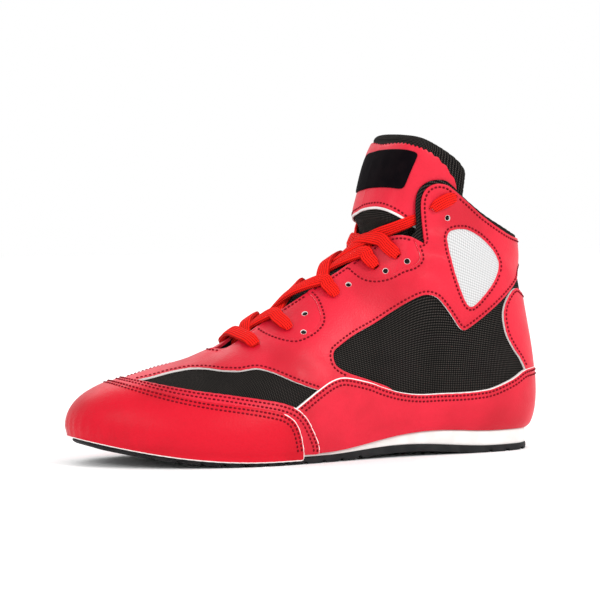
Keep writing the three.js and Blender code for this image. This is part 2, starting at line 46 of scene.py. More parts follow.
HEIGHT = 180.0
HEEL_REST = 22.0
TOE_SPRING = 12.0
ARCH_RISE = 2.8
OUTSOLE_WAIST = 4.1
OUTSOLE_TOE = 2.5
WEDGE_HEEL = 8.3
WEDGE_FORE = 1.5
HEEL_FLARE = 1.6
TOE_TUCK = 0.4
TREAD_DEPTH = 1.2
TREAD_WIDTH = 2.4
TREAD_PITCH = 12.0
INSOLE_THICK = 3.0
WALL = 2.2
GAP = 0.3
CAP_LAP_REAR = 3.4
CAP_LAP_TOE = 0.9
HOLE_RADIUS = 1.5
HEEL_PAD_END = 13.5
FORE_PAD_START = 54.0
FORE_PAD_END = 66.0
MM = 0.001

# Thickness of each panel on the upper, in millimetres
CAP_THICK = 2.5
MUDGUARD_THICK = 1.9
FOXING_THICK = 1.7
COUNTER_THICK = 1.4
QUARTER_THICK = 1.2
EYESTAY_THICK = 0.6
WINDOW_THICK = 0.5
# How far a panel runs on under the next, and an inlay under the edge of its opening
RUN_UNDER = 4
INLAY_LAP = 1.6
# How far stitches sink into what they lie on, and panels' cut edges below the upper's face
STITCH_SINK = 0.05
SKIRT_SINK = 0.2
# Distances from a cut edge count up to this one
RIM_REACH = 8.0
# Step over the surface, in u and t, to find slopes
STEP = 1e-3

# Stations of the last: see the solid model for the columns
STATION_ROWS = [
    [180, 3.1, 0, 0, 4.5, 0, 0, 68.8, 10.5, 4.6, 9.5, 29.5, -3, 50.5],
    [135, 5.5, 17, 17, 7.6, 17.5, 17.5, 69.4, 9, 4.6, 7.2, 29, -2.5, 51],
    [98, 13.8, 26, 26, 16.2, 29.5, 29.5, 76.7, 6, 5.5, 8, 29.5, -2, 53.5],
    [90, 26.7, 29, 28, 29.7, 32, 31.5, 90.7, 5, 5.5, 8, 29.2, -2, 58.6],
    [90, 40, 33, 29, 36.1, 17, 17, 69.2, 4, 5.5, 6, 27, 13, 56.6],
    [84, 52.8, 40, 35, 45.4, 8.5, 8, 58.9, 4, 5.5, 6, 23.9, 18.5, 50],
    [78, 65.6, 46, 43.5, 54.6, 7, 7, 48.8, 4, 5.5, 5, 19, 22, 40.6],
    [66, 79.5, 42, 43, 62.8, 6.5, 7.5, 40, 4, 6.4, 3.5, 16.4, 25, 29.8],
    [48, 90.2, 28, 36, 68.2, 6, 7, 34.2, 3, 7.3, 0.5, 19.2, 33, 26.2],
    [22, 97.1, 11, 24, 70.3, 2, 4.5, 33.4, 2.5, 7.3, -2, 22.6, 43, 24.6],
    [0, 99.1, -7, 7, 70.8, -1.5, 1.5, 33.5, 2.5, 7.3, -3, 23.9, 45, 24.5],
]
TURNS = 20
TOE_TURN = 10
LEVEL_BAND = 0.12


def along(share):
    return np.asarray(share, float) / 100 * LENGTH - HEEL_REST


def up(share):
    return np.asarray(share, float) / 100 * HEIGHT


def across(share):
    return np.asarray(share, float) / 100 * BALL_WIDTH


def share_along(x):
    return (np.asarray(x, float) + HEEL_REST) / LENGTH * 100


def smooth(value):
    value = np.clip(value, 0, 1)
    return value * value * (3 - 2 * value)


def ground(x):
    share = share_along(x)
    arch = np.sin(np.pi * np.clip((share - HEEL_PAD_END) / (FORE_PAD_START - HEEL_PAD_END), 0, 1)) ** 2
    spring = np.clip((share - FORE_PAD_END) / (100 - FORE_PAD_END), 0, 1) ** 2
    return ARCH_RISE * arch + TOE_SPRING * spring


def outsole_top(x):
    from_waist = (share_along(x) - 36) / 64
    return ground(x) + OUTSOLE_WAIST - (OUTSOLE_WAIST - OUTSOLE_TOE) * from_waist**2


def wedge_top(x):
    return outsole_top(x) + WEDGE_FORE + (WEDGE_HEEL - WEDGE_FORE) * smooth((55.5 - share_along(x)) / 35)


def unit(vectors):
    return vectors / np.maximum(np.linalg.norm(vectors, axis=-1, keepdims=True), 1e-12)


def lengths_along(points):
    """How far along a chain each of its points is."""
    return np.concatenate([[0], np.cumsum(np.linalg.norm(np.diff(points, axis=0), axis=1))])


def resampled(places, run, values):
    """Values that are given at the distances in run, read off at other places."""
    return np.stack([np.interp(places, run, column) for column in values.T], 1)


def spline_at(rows, places):
    """Rows of a smooth Catmull-Rom curve through the given rows, at places counted in rows."""
    last = len(rows) - 1
    cell = np.clip(np.floor(places).astype(int), 0, last - 1)
    f = (places - cell)[:, None]
    a, b = rows[np.maximum(cell - 1, 0)], rows[cell]
    c, d = rows[cell + 1], rows[np.minimum(cell + 2, last)]
    return b + 0.5 * f * (c - a + f * (2 * a - 5 * b + 4 * c - d + f * (3 * (b - c) + d - a)))


def station_row(row, side):
    facing, foot_x, foot_outer, foot_inner, top_x, top_outer, top_inner, top_z = row[:8]
    wall_out, wall_up, flank_out, flank_z, brow_out, brow_z = row[8:]
    turn = math.radians(facing)
    return [
        math.cos(turn), side * math.sin(turn),
        along(foot_x), across(foot_outer if side > 0 else -foot_inner),
        along(top_x), across(top_outer if side > 0 else -top_inner), up(top_z),
        across(wall_out), up(wall_up), across(flank_out), up(flank_z), across(brow_out), up(brow_z),
    ]


def spline_controls(rows):
    controls = rows.copy()
    for _ in range(60):
        controls = (6 * rows - np.roll(controls, 1, 0) - np.roll(controls, -1, 0)) / 4
    return controls


OUTER_ROWS = [station_row(row, 1) for row in STATION_ROWS]
INNER_ROWS = [station_row(row, -1) for row in STATION_ROWS[-2:0:-1]]
STATIONS = spline_controls(np.array(OUTER_ROWS + INNER_ROWS, float))


def station_at(u):
    cell = np.floor(u).astype(int)
    f = (u - cell)[:, None]
    weights = [
        (1 - f) ** 3 / 6,
        (3 * f**3 - 6 * f**2 + 4) / 6,
        (-3 * f**3 + 3 * f**2 + 3 * f + 1) / 6,
        f**3 / 6,
    ]
    return sum(weight * STATIONS[(cell + j - 1) % TURNS] for j, weight in enumerate(weights))


def face(u, t):
    """Points of the upper's outer face: u goes round the foot, t from the sole to the virtual top edge."""
    u, t = np.broadcast_arrays(np.asarray(u, float), np.asarray(t, float))
    (facing_x, facing_y, foot_x, foot_y, top_x, top_y, top_z,
     wall_out, wall_up, flank_out, flank_z, brow_out, brow_z) = station_at(u).T
    facing = np.hypot(facing_x, facing_y)
    out_x, out_y = facing_x / facing, facing_y / facing
    foot_z = wedge_top(foot_x) + GAP
    path = [
        (foot_x, foot_y, foot_z),
        (foot_x + out_x * wall_out, foot_y + out_y * wall_out, foot_z + wall_up),
        (foot_x + out_x * flank_out, foot_y + out_y * flank_out, flank_z),
        (top_x + out_x * brow_out, top_y + out_y * brow_out, brow_z),
        (top_x, top_y, top_z),
    ]
    s = np.maximum(0, t)
    r = 1 - s
    weights = [r**4, 4 * s * r**3, 6 * s**2 * r**2, 4 * s**3 * r, s**4]
    point = sum(weight[:, None] * np.stack(corner, 1) for weight, corner in zip(weights, path))
    point[:, 2] += np.minimum(0, t) * HEIGHT
    return point


def normal_at(u, t):
    s = np.maximum(0, t)
    turned = face(u + STEP, s) - face(u - STEP, s)
    rise = face(u, np.minimum(1, s + STEP)) - face(u, np.maximum(0, s - STEP))
    normal = unit(np.cross(rise, turned))
    normal[:, 2] *= smooth(np.asarray(t) / LEVEL_BAND)
    return unit(normal)


# Soft troughs and ridges in the upper, in side view.
# Each row: from x and z to x and z in shares, then width and depth in mm
CREASES = [
    (31.2, 64.5, 26.4, 62.5, 3.4, 1.3),
    (30.6, 59.5, 26.6, 55.0, 3.8, 1.1),
    (29.5, 71.0, 25.5, 72.0, 3.4, 0.8),
    (12.0, 62.0, 4.0, 55.0, 4.0, 0.7),
    (27.0, 52.5, 33.0, 50.0, 3.0, 0.6),
    (52.0, 27.0, 58.0, 33.0, 5.0, 0.7),
    (60.5, 21.0, 63.0, 29.0, 4.0, 0.6),
    (71.0, 27.5, 78.0, 29.5, 6.0, 0.9),
]


# About how many mm a step of one in u and in t is on the surface
SCALE = np.array([35.0, 130.0])


def side_sign(u):
    return np.where(np.mod(u, TURNS) < TOE_TURN, 1.0, -1.0)


def relief(u, t, point):
    x, z = point[:, 0], point[:, 2]
    total = np.zeros(len(x))
    for x0, z0, x1, z1, width, depth in CREASES:
        start = np.array([along(x0), up(z0)])
        run = np.array([along(x1), up(z1)]) - start
        rel = np.stack([x, z], 1) - start
        share = np.clip(rel @ run / (run @ run), 0, 1)
        miss = np.linalg.norm(rel - share[:, None] * run, axis=1)
        taper = np.sin(np.pi * np.clip(share, 0.03, 0.97)) ** 0.5
        trough = np.exp(-((miss / width) ** 2))
        ridge = np.exp(-(((miss - 2 * width) / width) ** 2))
        total -= depth * taper * (trough - 0.6 * ridge)
    low = smooth((0.34 - t) / 0.3) * smooth((np.asarray(t) + 0.02) / 0.08)
    fold = np.sin(np.asarray(u) * 21) * smooth((x - along(88)) / along(8))
    total += 0.35 * low * fold
    total += 0.35 * np.sin(x / 19 + 0.4) * np.sin(z / 13 + x / 41) * smooth(t / 0.15)
    return total


def layer(u, t, out, creased=True):
    u, t = np.broadcast_arrays(np.asarray(u, float), np.asarray(t, float))
    point = face(u, t)
    height = np.zeros(len(u)) + out
    if creased:
        height = height + relief(u, t, point)
    return point + normal_at(u, t) * height[:, None]


def locate(x, z, side):
    """The (u, t) of a place given in side view, on the outer side (1) or the inner side (-1)."""
    us, ts = np.meshgrid(np.linspace(0.25, 9.75, 60), np.linspace(0.1, 1, 30), indexing="ij")
    us = us.ravel() if side > 0 else TURNS - us.ravel()
    ts = ts.ravel()
    seen = face(us, ts)
    best = np.argmin(np.hypot(seen[:, 0] - x, seen[:, 2] - z))
    u, t = us[best], ts[best]
    for _ in range(12):
        here, turned, lowered = face([u, u + STEP, u], [t, t, t - STEP])
        miss = np.array([here[0] - x, here[2] - z])
        by_u = (turned - here)[[0, 2]] / STEP
        by_t = (here - lowered)[[0, 2]] / STEP
        shift = np.linalg.solve(np.stack([by_u, by_t], 1), miss)
        u, t = u - shift[0], min(1.0, t - shift[1])
    return u, t


def curve(points, per_point=6):
    """A smooth curve through side-view points."""
    last = len(points) - 1
    return spline_at(np.array(points, float), np.linspace(0, last, last * per_point + 1))


def outline(*parts):
    shares = np.concatenate([np.array(part, float).reshape(-1, 2) for part in parts])
    return np.stack([along(shares[:, 0]), up(shares[:, 1])], 1)


# Side-view outlines, in shares of the length and of the height, as in the solid model
throat_edge = curve([
    [71, 36.6], [68.3, 35.4], [65.9, 36.9], [63, 39.9], [58.5, 44.4], [52, 50.9], [48.8, 54.1],
    [44, 58.5], [40, 62.5], [38, 64.9], [36.1, 67.4], [34.4, 68.3], [32.8, 67.9],
])
tab_edge = curve([
    [30.4, 65.7], [30.6, 69.6], [30.8, 73.3], [30.9, 76.9], [30.7, 80.1], [29.8, 82.7], [28, 84.1],
    [26, 83.9], [24.4, 82.6], [20, 77.5], [17.2, 74.2], [13.4, 70.7], [9.9, 68.1], [7, 66.9],
    [4, 66.4], [-4, 66.2],
])
lining_edge = curve([
    [32.1, 69.2], [31.8, 71.8], [31.9, 75.8], [31.8, 79.7], [31.1, 82.7], [29.4, 84.7], [27.2, 85.3],
    [25, 84.6], [21.6, 80.2], [18.3, 76.5], [15.2, 73.6], [12, 71.2], [9, 69.2], [6.6, 68],
    [4, 67.6], [-4, 67.4],
])
BELOW = [[-4, -10], [112, -10], [112, 37]]
QUARTER_TOP = outline(BELOW, throat_edge, tab_edge)
UPPER_TOP = outline(BELOW, throat_edge, lining_edge)
SIDE_PANEL = outline(
    curve([[36.4, 14.7], [38.1, 21], [43.2, 24.3], [48, 26.7], [50.4, 28.7], [51.1, 30.8], [50.9, 33.1],
        [49.5, 34.8], [45.9, 38.1], [41.4, 41.4], [37.4, 44.9], [34.3, 47.6], [31.6, 49.5], [29.7, 50],
        [27.7, 48.9], [25.8, 45.8], [24.1, 42.3], [22.9, 39.7], [22, 38.8], [20.9, 39.2], [17, 42.9],
        [13.1, 47], [10, 50.5], [7.5, 53.8], [4.9, 57.2], [1, 59.6]]),
    [[-4, 60], [-4, 15]],
)
TOE_MESH = outline(
    curve([[89.8, 24.4], [87.6, 25.1], [85.4, 25.9], [81, 27.6], [77.6, 28.7], [75.1, 28.9],
        [72.3, 28.2], [69.7, 27.9], [67.1, 28.4], [65.6, 28.2], [62.8, 26.8], [59.3, 24.2], [55.1, 22]]),
    [[54, 15.1], [62, 8.9], [84, 16.6], [89.8, 23.3]],
)
HEEL_WINDOW = outline(
    curve([[23.4, 70.1], [24.9, 69.4], [25.6, 67.6], [25.3, 65], [23.9, 57], [21.9, 49], [20.6, 46.1],
        [19.2, 46.5], [16.4, 50.3], [14.1, 54.5], [13.1, 58.9], [14.1, 62.3], [15.9, 65.3], [18.2, 68],
        [21, 69.9], [23.4, 70.1]])[:-1],
)
FRONT_SCALLOP = outline(
    curve([[53.4, 52.9], [51.9, 49.3], [51.7, 46], [52, 42.5], [53.4, 40.1], [55.4, 38.2], [57.8, 36.9],
        [59.9, 37.3], [61.5, 38.7], [62.4, 40.9]]),
    [[64.5, 44.5], [58, 51.6]],
)
REAR_SCALLOP = outline(
    curve([[32.7, 68.8], [31.8, 64.8], [31.3, 61.4], [32.4, 59.2], [34.6, 57.9], [36.8, 55.8],
        [39.2, 54.8], [41.3, 55.1], [42.7, 56.8], [43.7, 59.5]]),
    [[46, 62.8], [40, 69.9]],
)
FOXING = outline(
    [[62, 10.9]],
    curve([[60.8, 16.8], [58, 19.5], [55.5, 21.9], [53.3, 23.8], [51.6, 24.9], [49.8, 25.5],
        [47.5, 25.2], [43.3, 23.7], [40.4, 22.1], [36.4, 20.4], [31.9, 19.5], [27.2, 19.5], [21.6, 19.5],
        [17.9, 19.8], [14.8, 20.5], [10, 23], [6.8, 25.3], [4, 25.8], [0, 25.9]]),
    [[-4, 24.8], [-4, -10], [62, -10]],
)
MUDGUARD = outline(
    [[55.2, -10]],
    curve([[55.2, 3.7], [55.5, 6.1], [56.1, 8.1], [57, 10.7], [58, 13.4], [59.3, 15.6], [61, 17.3],
        [63.8, 18.7], [67.7, 19.7], [71.5, 20.5], [76.1, 21.4], [80.9, 22.7], [85.5, 24], [88.3, 24.9],
        [91.2, 25.5]]),
    [[97, 29], [112, 29], [112, -10]],
)
TOE_CAP = outline(
    [[58.9, -10]],
    curve([[58.9, 3.6], [59.3, 6.6], [60, 10.2], [61, 13.1], [62.7, 15.1], [64.7, 16.1], [67.8, 17],
        [71.6, 17.8], [76.8, 18.8], [81.5, 20.2], [86, 21.9], [90.4, 23.6], [92.6, 24.8]]),
    [[97, 28], [112, 28], [112, -10]],
)
HEEL_COUNTER = outline(
    curve([[-4, 47.4], [0, 48.5], [3.4, 48.5], [5.5, 49.5], [7.6, 51], [9.3, 50.3], [11.1, 47.6],
        [12.1, 43.7], [11.8, 39.3], [11, 35.9], [9.3, 32], [7.6, 28.9], [6.2, 25.5]]),
    [[5, 20.6], [-4, 20]],
)
EYELETS = [[64.9, 35.2], [58.3, 40.6], [48.1, 50.3], [39.3, 59], [35.4, 62.7], [28.4, 76.9]]
SPARE_EYELETS = [
    [55.9, 39], [54.4, 44.4], [44.9, 52.9], [37.5, 57.2], [33.7, 60.3], [25.4, 73.6], [24.4, 79.8],
]
INNER_FALL = 1.8


def inner_fall(x):
    """How much lower the inner side's outlines lie, in mm."""
    share = share_along(x)
    return up(INNER_FALL) * smooth((69 - share) / 8) * smooth((share - 33) / 6)


def signed_distance(x, z, shape):
    """Distance in side view from an outline, positive inside it."""
    start, end = shape, np.roll(shape, -1, 0)
    run = end - start
    square = np.maximum((run**2).sum(1), 1e-12)
    result = np.empty(len(x))
    for first in range(0, len(x), 4000):
        px, pz = x[first:first + 4000, None], z[first:first + 4000, None]
        rel_x, rel_z = px - start[:, 0], pz - start[:, 1]
        share = np.clip((rel_x * run[:, 0] + rel_z * run[:, 1]) / square, 0, 1)
        far = np.hypot(rel_x - share * run[:, 0], rel_z - share * run[:, 1]).min(1)
        spans = (start[:, 1] > pz) != (end[:, 1] > pz)
        drop = np.where(np.abs(run[:, 1]) < 1e-9, 1e-9, run[:, 1])
        crossing = start[:, 0] + rel_z / drop * run[:, 0]
        inside = (spans & (px < crossing)).sum(1) % 2 == 1
        result[first:first + 4000] = np.where(inside, far, -far)
    return result


def region(*terms, lowest=None):
    """A field over (u, t), positive where every (outline, sign, offset) term is."""
    def field(u, t):
        point = face(u, t)
        x = point[:, 0]
        z = point[:, 2] + np.where(side_sign(u) < 0, inner_fall(x), 0)
        values = [sign * signed_distance(x, z, shape) + offset for shape, sign, offset in terms]
        if lowest is not None:
            values.append((np.asarray(t) - lowest(u)) * HEIGHT)
        return np.min(values, axis=0) + 1e-7
    return field


def contours(field, us, ts):
    """The chains of (u, t) points where a field is zero."""
    uu, tt = np.meshgrid(us, ts, indexing="ij")
    value = field(uu.ravel(), tt.ravel()).reshape(uu.shape)
    inside = value > 0
    mixed = (inside[:-1, :-1] != inside[1:, :-1]) | (inside[1:, :-1] != inside[1:, 1:]) \
        | (inside[1:, 1:] != inside[:-1, 1:]) | (inside[:-1, 1:] != inside[:-1, :-1])
    places, where, links = {}, [], defaultdict(list)

    def crossing(i, j, k, m):
        key = (i, j, k, m)
        if key not in places:
            share = value[i, j] / (value[i, j] - value[k, m])
            places[key] = len(where)
            where.append((us[i] + share * (us[k] - us[i]), ts[j] + share * (ts[m] - ts[j])))
        return places[key]

    for i, j in np.argwhere(mixed):
        edges = [(i, j, i + 1, j), (i + 1, j, i + 1, j + 1), (i, j + 1, i + 1, j + 1), (i, j, i, j + 1)]
        hit = [crossing(*edge) for edge in edges if inside[edge[0], edge[1]] != inside[edge[2], edge[3]]]
        for a, b in zip(hit[::2], hit[1::2]):
            links[a].append(b)
            links[b].append(a)
    chains, used = [], set()
    starts = [p for p in links if len(links[p]) == 1] + list(links)
    for start in starts:
        if start in used:
            continue
        chain = [start]
        used.add(start)
        while True:
            onward = [p for p in links[chain[-1]] if p not in used]
            if not onward:
                break
            used.add(onward[0])
            chain.append(onward[0])
        closed = len(chain) > 2 and chain[0] in links[chain[-1]]
        if closed:
            chain.append(chain[0])
        if len(chain) > 2:
            chains.append(np.array([where[p] for p in chain]))
    return chains


def evened(chain, spacing):
    """A chain of (u, t) points spread evenly over the surface."""
    run = lengths_along(face(chain[:, 0], chain[:, 1]))
    count = max(3, int(round(run[-1] / spacing)) + 1)
    return resampled(np.linspace(0, run[-1], count), run, chain)


def onto(field, chain):
    """Moves a chain's inner points onto the field's zero line."""
    chain = chain.copy()
    for _ in range(3):
        u, t = chain[1:-1].T
        here = field(u, t)
        by_u = (field(u + STEP, t) - here) / STEP
        by_t = (field(u, t + STEP) - here) / STEP
        # The step is taken in millimetres on the surface, so that both directions count alike
        slope = (by_u / SCALE[0]) ** 2 + (by_t / SCALE[1]) ** 2 + 1e-9
        move = np.clip(here / slope, -1.5, 1.5)
        chain[1:-1, 0] -= move * by_u / SCALE[0] ** 2
        chain[1:-1, 1] -= move * by_t / SCALE[1] ** 2
    return chain


def jacobian(u, t):
    low, high = np.maximum(t - STEP, -1), np.minimum(t + STEP, 1)
    by_u = (face(u + STEP, t) - face(u - STEP, t)) / (2 * STEP)
    by_t = (face(u, high) - face(u, low)) / (high - low)[:, None]
    return by_u, by_t


def shifted(chain, direction):
    """(u, t) points moved over the surface by given 3-D steps."""
    by_u, by_t = jacobian(chain[:, 0], chain[:, 1])
    uu, ut, tt = (by_u * by_u).sum(1), (by_u * by_t).sum(1), (by_t * by_t).sum(1)
    a, b = (by_u * direction).sum(1), (by_t * direction).sum(1)
    area = np.maximum(uu * tt - ut * ut, 1e-6)
    return chain + np.stack([(a * tt - b * ut) / area, (b * uu - a * ut) / area], 1)


def inward(field, chain):
    """Unit 3-D directions over the surface, square to a chain, to the side where the field is positive."""
    points = face(chain[:, 0], chain[:, 1])
    closed = np.allclose(points[0], points[-1], atol=1e-3)
    if closed:
        ring = points[:-1]
        tangent = np.roll(ring, -1, 0) - np.roll(ring, 1, 0)
        tangent = np.concatenate([tangent, tangent[:1]])
    else:
        tangent = np.gradient(points, axis=0)
    side = unit(np.cross(normal_at(chain[:, 0], chain[:, 1]), unit(tangent)))
    ahead = shifted(chain, side * 0.8)
    behind = shifted(chain, -side * 0.8)
    gain = field(ahead[:, 0], np.minimum(ahead[:, 1], 1)) - field(behind[:, 0], np.minimum(behind[:, 1], 1))
    return side * (1 if np.sign(gain).sum() >= 0 else -1)


def tree_of(points):
    tree = kdtree.KDTree(len(points))
    for i, point in enumerate(points):
        tree.insert(point, i)
    tree.balance()
    return tree


def distances(tree, points):
    return np.array([tree.find(point)[2] for point in points])


def circle(centre, radius, count):
    """(u, t) points in a ring round a place on the surface."""
    at = np.repeat(np.array([centre], float), count, 0)
    by_u, _ = jacobian(at[:, 0], at[:, 1])
    first = unit(by_u)
    second = np.cross(normal_at(at[:, 0], at[:, 1]), first)
    turn = np.linspace(0, 2 * np.pi, count, endpoint=False)[:, None]
    return shifted(at, radius * (np.cos(turn) * first + np.sin(turn) * second))


RINGS = [0.3, 0.75, 1.4, 2.1, 2.8, 3.8]


class Patch:
    """A piece of the upper's surface inside a field: its points, triangles and distance from the cut edge."""

    def __init__(self, field, span, holes=(), lowest=0.0, spacing=2.4, cell=1.3, rings=RINGS):
        self.field = field
        self.span = span
        us = np.linspace(span[0], span[1], int(round((span[1] - span[0]) / 0.05)) + 1)
        ts = np.linspace(lowest, 1, int(round((1 - lowest) / 0.0105)) + 1)
        self.chains = [onto(field, evened(chain, cell)) for chain in contours(field, us, ts)]
        self.chains = [chain for chain in self.chains if len(chain) > 4]
        coords, edges = [], []

        def chain_in(chain, closed=False):
            first = len(coords)
            coords.extend(chain)
            edges.extend((first + i, first + i + 1) for i in range(len(chain) - 1))
            if closed:
                edges.append((first + len(chain) - 1, first))

        for chain in self.chains:
            shut = np.allclose(chain[0], chain[-1], atol=1e-6)
            chain_in(chain[:-1] if shut else chain, shut)
        cut = [face(*evened(chain, 0.4).T) for chain in self.chains]
        top = evened(np.stack([us, np.ones(len(us))], 1), cell)
        top_inside = top[field(top[:, 0], top[:, 1] - 1e-4) > 0]
        if len(top_inside):
            cut.append(face(*top_inside.T))
        self.holes = list(holes)
        hole_centres = face(*np.array(self.holes).T) if self.holes else np.zeros((0, 3))
        for centre in self.holes:
            ring = circle(centre, HOLE_RADIUS, 14)
            chain_in(ring, True)
            cut.append(face(*circle(centre, HOLE_RADIUS, 40).T))
        self.tree = tree_of(np.concatenate(cut)) if cut else None
        low_row = evened(np.stack([us, np.full(len(us), lowest)], 1), cell * 1.5)
        chain_in(top)
        chain_in(low_row)
        rows = int(round((1 - lowest) / 0.018))
        row_ts = np.linspace(lowest, 1, rows + 1)
        for u in span:
            chain_in([(u, t) for t in row_ts])
        extra = []
        for k, depth in enumerate(rings):
            for chain in self.chains:
                sides = inward(field, chain)
                ring = shifted(chain, sides * depth)
                extra.append(ring[k % 2::2] if depth > 2.5 else ring)
            if len(top_inside) > 2:
                extra.append(np.stack([top_inside[:, 0], np.full(len(top_inside), 1 - depth / 110)], 1))
            for centre in self.holes:
                if depth < 2.5:
                    extra.append(circle(centre, HOLE_RADIUS + depth, 14))
        near = np.concatenate(extra) if extra else np.zeros((0, 2))
        near = self._kept(near, 0.24)
        dense = np.linspace(span[0], span[1], 700)
        grid = []
        for n, t in enumerate(row_ts[1:-1]):
            line = face(dense, np.full(len(dense), t))
            run = lengths_along(line)
            count = max(4, int(run[-1] / spacing))
            places = (np.arange(count) + 0.25 + 0.5 * (n % 2)) / count * run[-1]
            grid.append(np.stack([np.interp(places, run, dense), np.full(count, t)], 1))
        grid = self._kept(np.concatenate(grid), (rings[-1] if rings else 0) + 0.9)
        near = self._thinned(near, 0.26)
        pool = np.concatenate([np.array(coords), near, grid])
        made = delaunay_2d_cdt([Vector(p) for p in pool * SCALE], edges, [], 0, 1e-5, False)
        points = np.array([tuple(p) for p in made[0]]) / SCALE
        triangles = np.array([tuple(f) for f in made[2]])
        centre = points[triangles].mean(1)
        keep = field(centre[:, 0], np.minimum(centre[:, 1], 1)) > 0
        if len(hole_centres):
            where = face(centre[:, 0], centre[:, 1])
            miss = np.linalg.norm(where[:, None] - hole_centres[None], axis=2).min(1)
            keep &= miss > HOLE_RADIUS * 0.97
        triangles = triangles[keep]
        corners = face(points[:, 0], points[:, 1])[triangles]
        area = np.linalg.norm(np.cross(corners[:, 1] - corners[:, 0], corners[:, 2] - corners[:, 0]), axis=1)
        triangles = triangles[area > 1e-5]
        used, packed = np.unique(triangles, return_inverse=True)
        self.uv = points[used]
        self.triangles = packed.reshape(-1, 3)
        self.rim = np.full(len(used), RIM_REACH)
        if self.tree:
            self.rim = np.minimum(distances(self.tree, face(*self.uv.T)), RIM_REACH)
        self._turn()

    def _kept(self, points, least):
        if not len(points):
            return points
        lo, hi = self.span
        points = points[(points[:, 0] > lo + 0.01) & (points[:, 0] < hi - 0.01) & (points[:, 1] < 0.998)]
        points = points[self.field(points[:, 0], points[:, 1]) > 0]
        if self.tree is None or not len(points):
            return points
        return points[distances(self.tree, face(*points.T)) > least]

    def _thinned(self, points, least):
        cells = set()
        kept = []
        for i, spot in enumerate(np.round(face(*points.T) / least).astype(int)):
            key = tuple(spot)
            if key not in cells:
                cells.add(key)
                kept.append(i)
        return points[kept]

    def _turn(self):
        spots = face(*self.uv.T)
        a, b, c = (spots[self.triangles[:, k]] for k in range(3))
        facing = np.cross(b - a, c - a)
        middle = self.uv[self.triangles].mean(1)
        flip = (facing * normal_at(middle[:, 0], middle[:, 1])).sum(1) < 0
        self.triangles[flip] = self.triangles[flip][:, [0, 2, 1]]

    def border(self):
        """Edges with one triangle, in turn, but for those on the seam where the surface closes on itself."""
        seen = defaultdict(int)
        order = {}
        for tri in self.triangles:
            for a, b in ((tri[0], tri[1]), (tri[1], tri[2]), (tri[2], tri[0])):
                seen[(min(a, b), max(a, b))] += 1
                order[(min(a, b), max(a, b))] = (a, b)
        lo, hi = self.span
        result = []
        for key, count in seen.items():
            if count != 1:
                continue
            a, b = order[key]
            on_seam = any(abs(self.uv[a, 0] - u) < 1e-6 and abs(self.uv[b, 0] - u) < 1e-6 for u in (lo, hi))
            if not (on_seam and hi - lo == TURNS):
                result.append((a, b))
        return result


def mesh_piece(name, points, faces, material, attributes=(), sharp=40, nodes=(), merge=0.0):
    """A named piece that rides on the shoe's one body. points are in mm."""
    mesh = bpy.data.meshes.new(name)
    mesh.from_pydata((np.asarray(points) * MM).tolist(), [], [list(map(int, f)) for f in faces])
    for key, values in attributes:
        values = np.asarray(values, float)
        kind = "FLOAT" if values.ndim == 1 else "FLOAT_VECTOR"
        layer_data = mesh.attributes.new(key, kind, "POINT")
        layer_data.data.foreach_set("value" if values.ndim == 1 else "vector", values.ravel())
    mesh.update()
    if merge:
        bm = bmesh.new()
        bm.from_mesh(mesh)
        bmesh.ops.remove_doubles(bm, verts=bm.verts, dist=merge * MM)
        bm.to_mesh(mesh)
        bm.free()
    mesh.polygons.foreach_set("use_smooth", [True] * len(mesh.polygons))
    mesh.set_sharp_from_angle(angle=math.radians(sharp))
    mesh.materials.append(material)
    mesh.update()
    obj = bpy.data.objects.new(name, mesh)
    bpy.context.scene.collection.objects.link(obj)
    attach(obj, "root")
    if nodes:
        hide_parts(*nodes)
    return obj


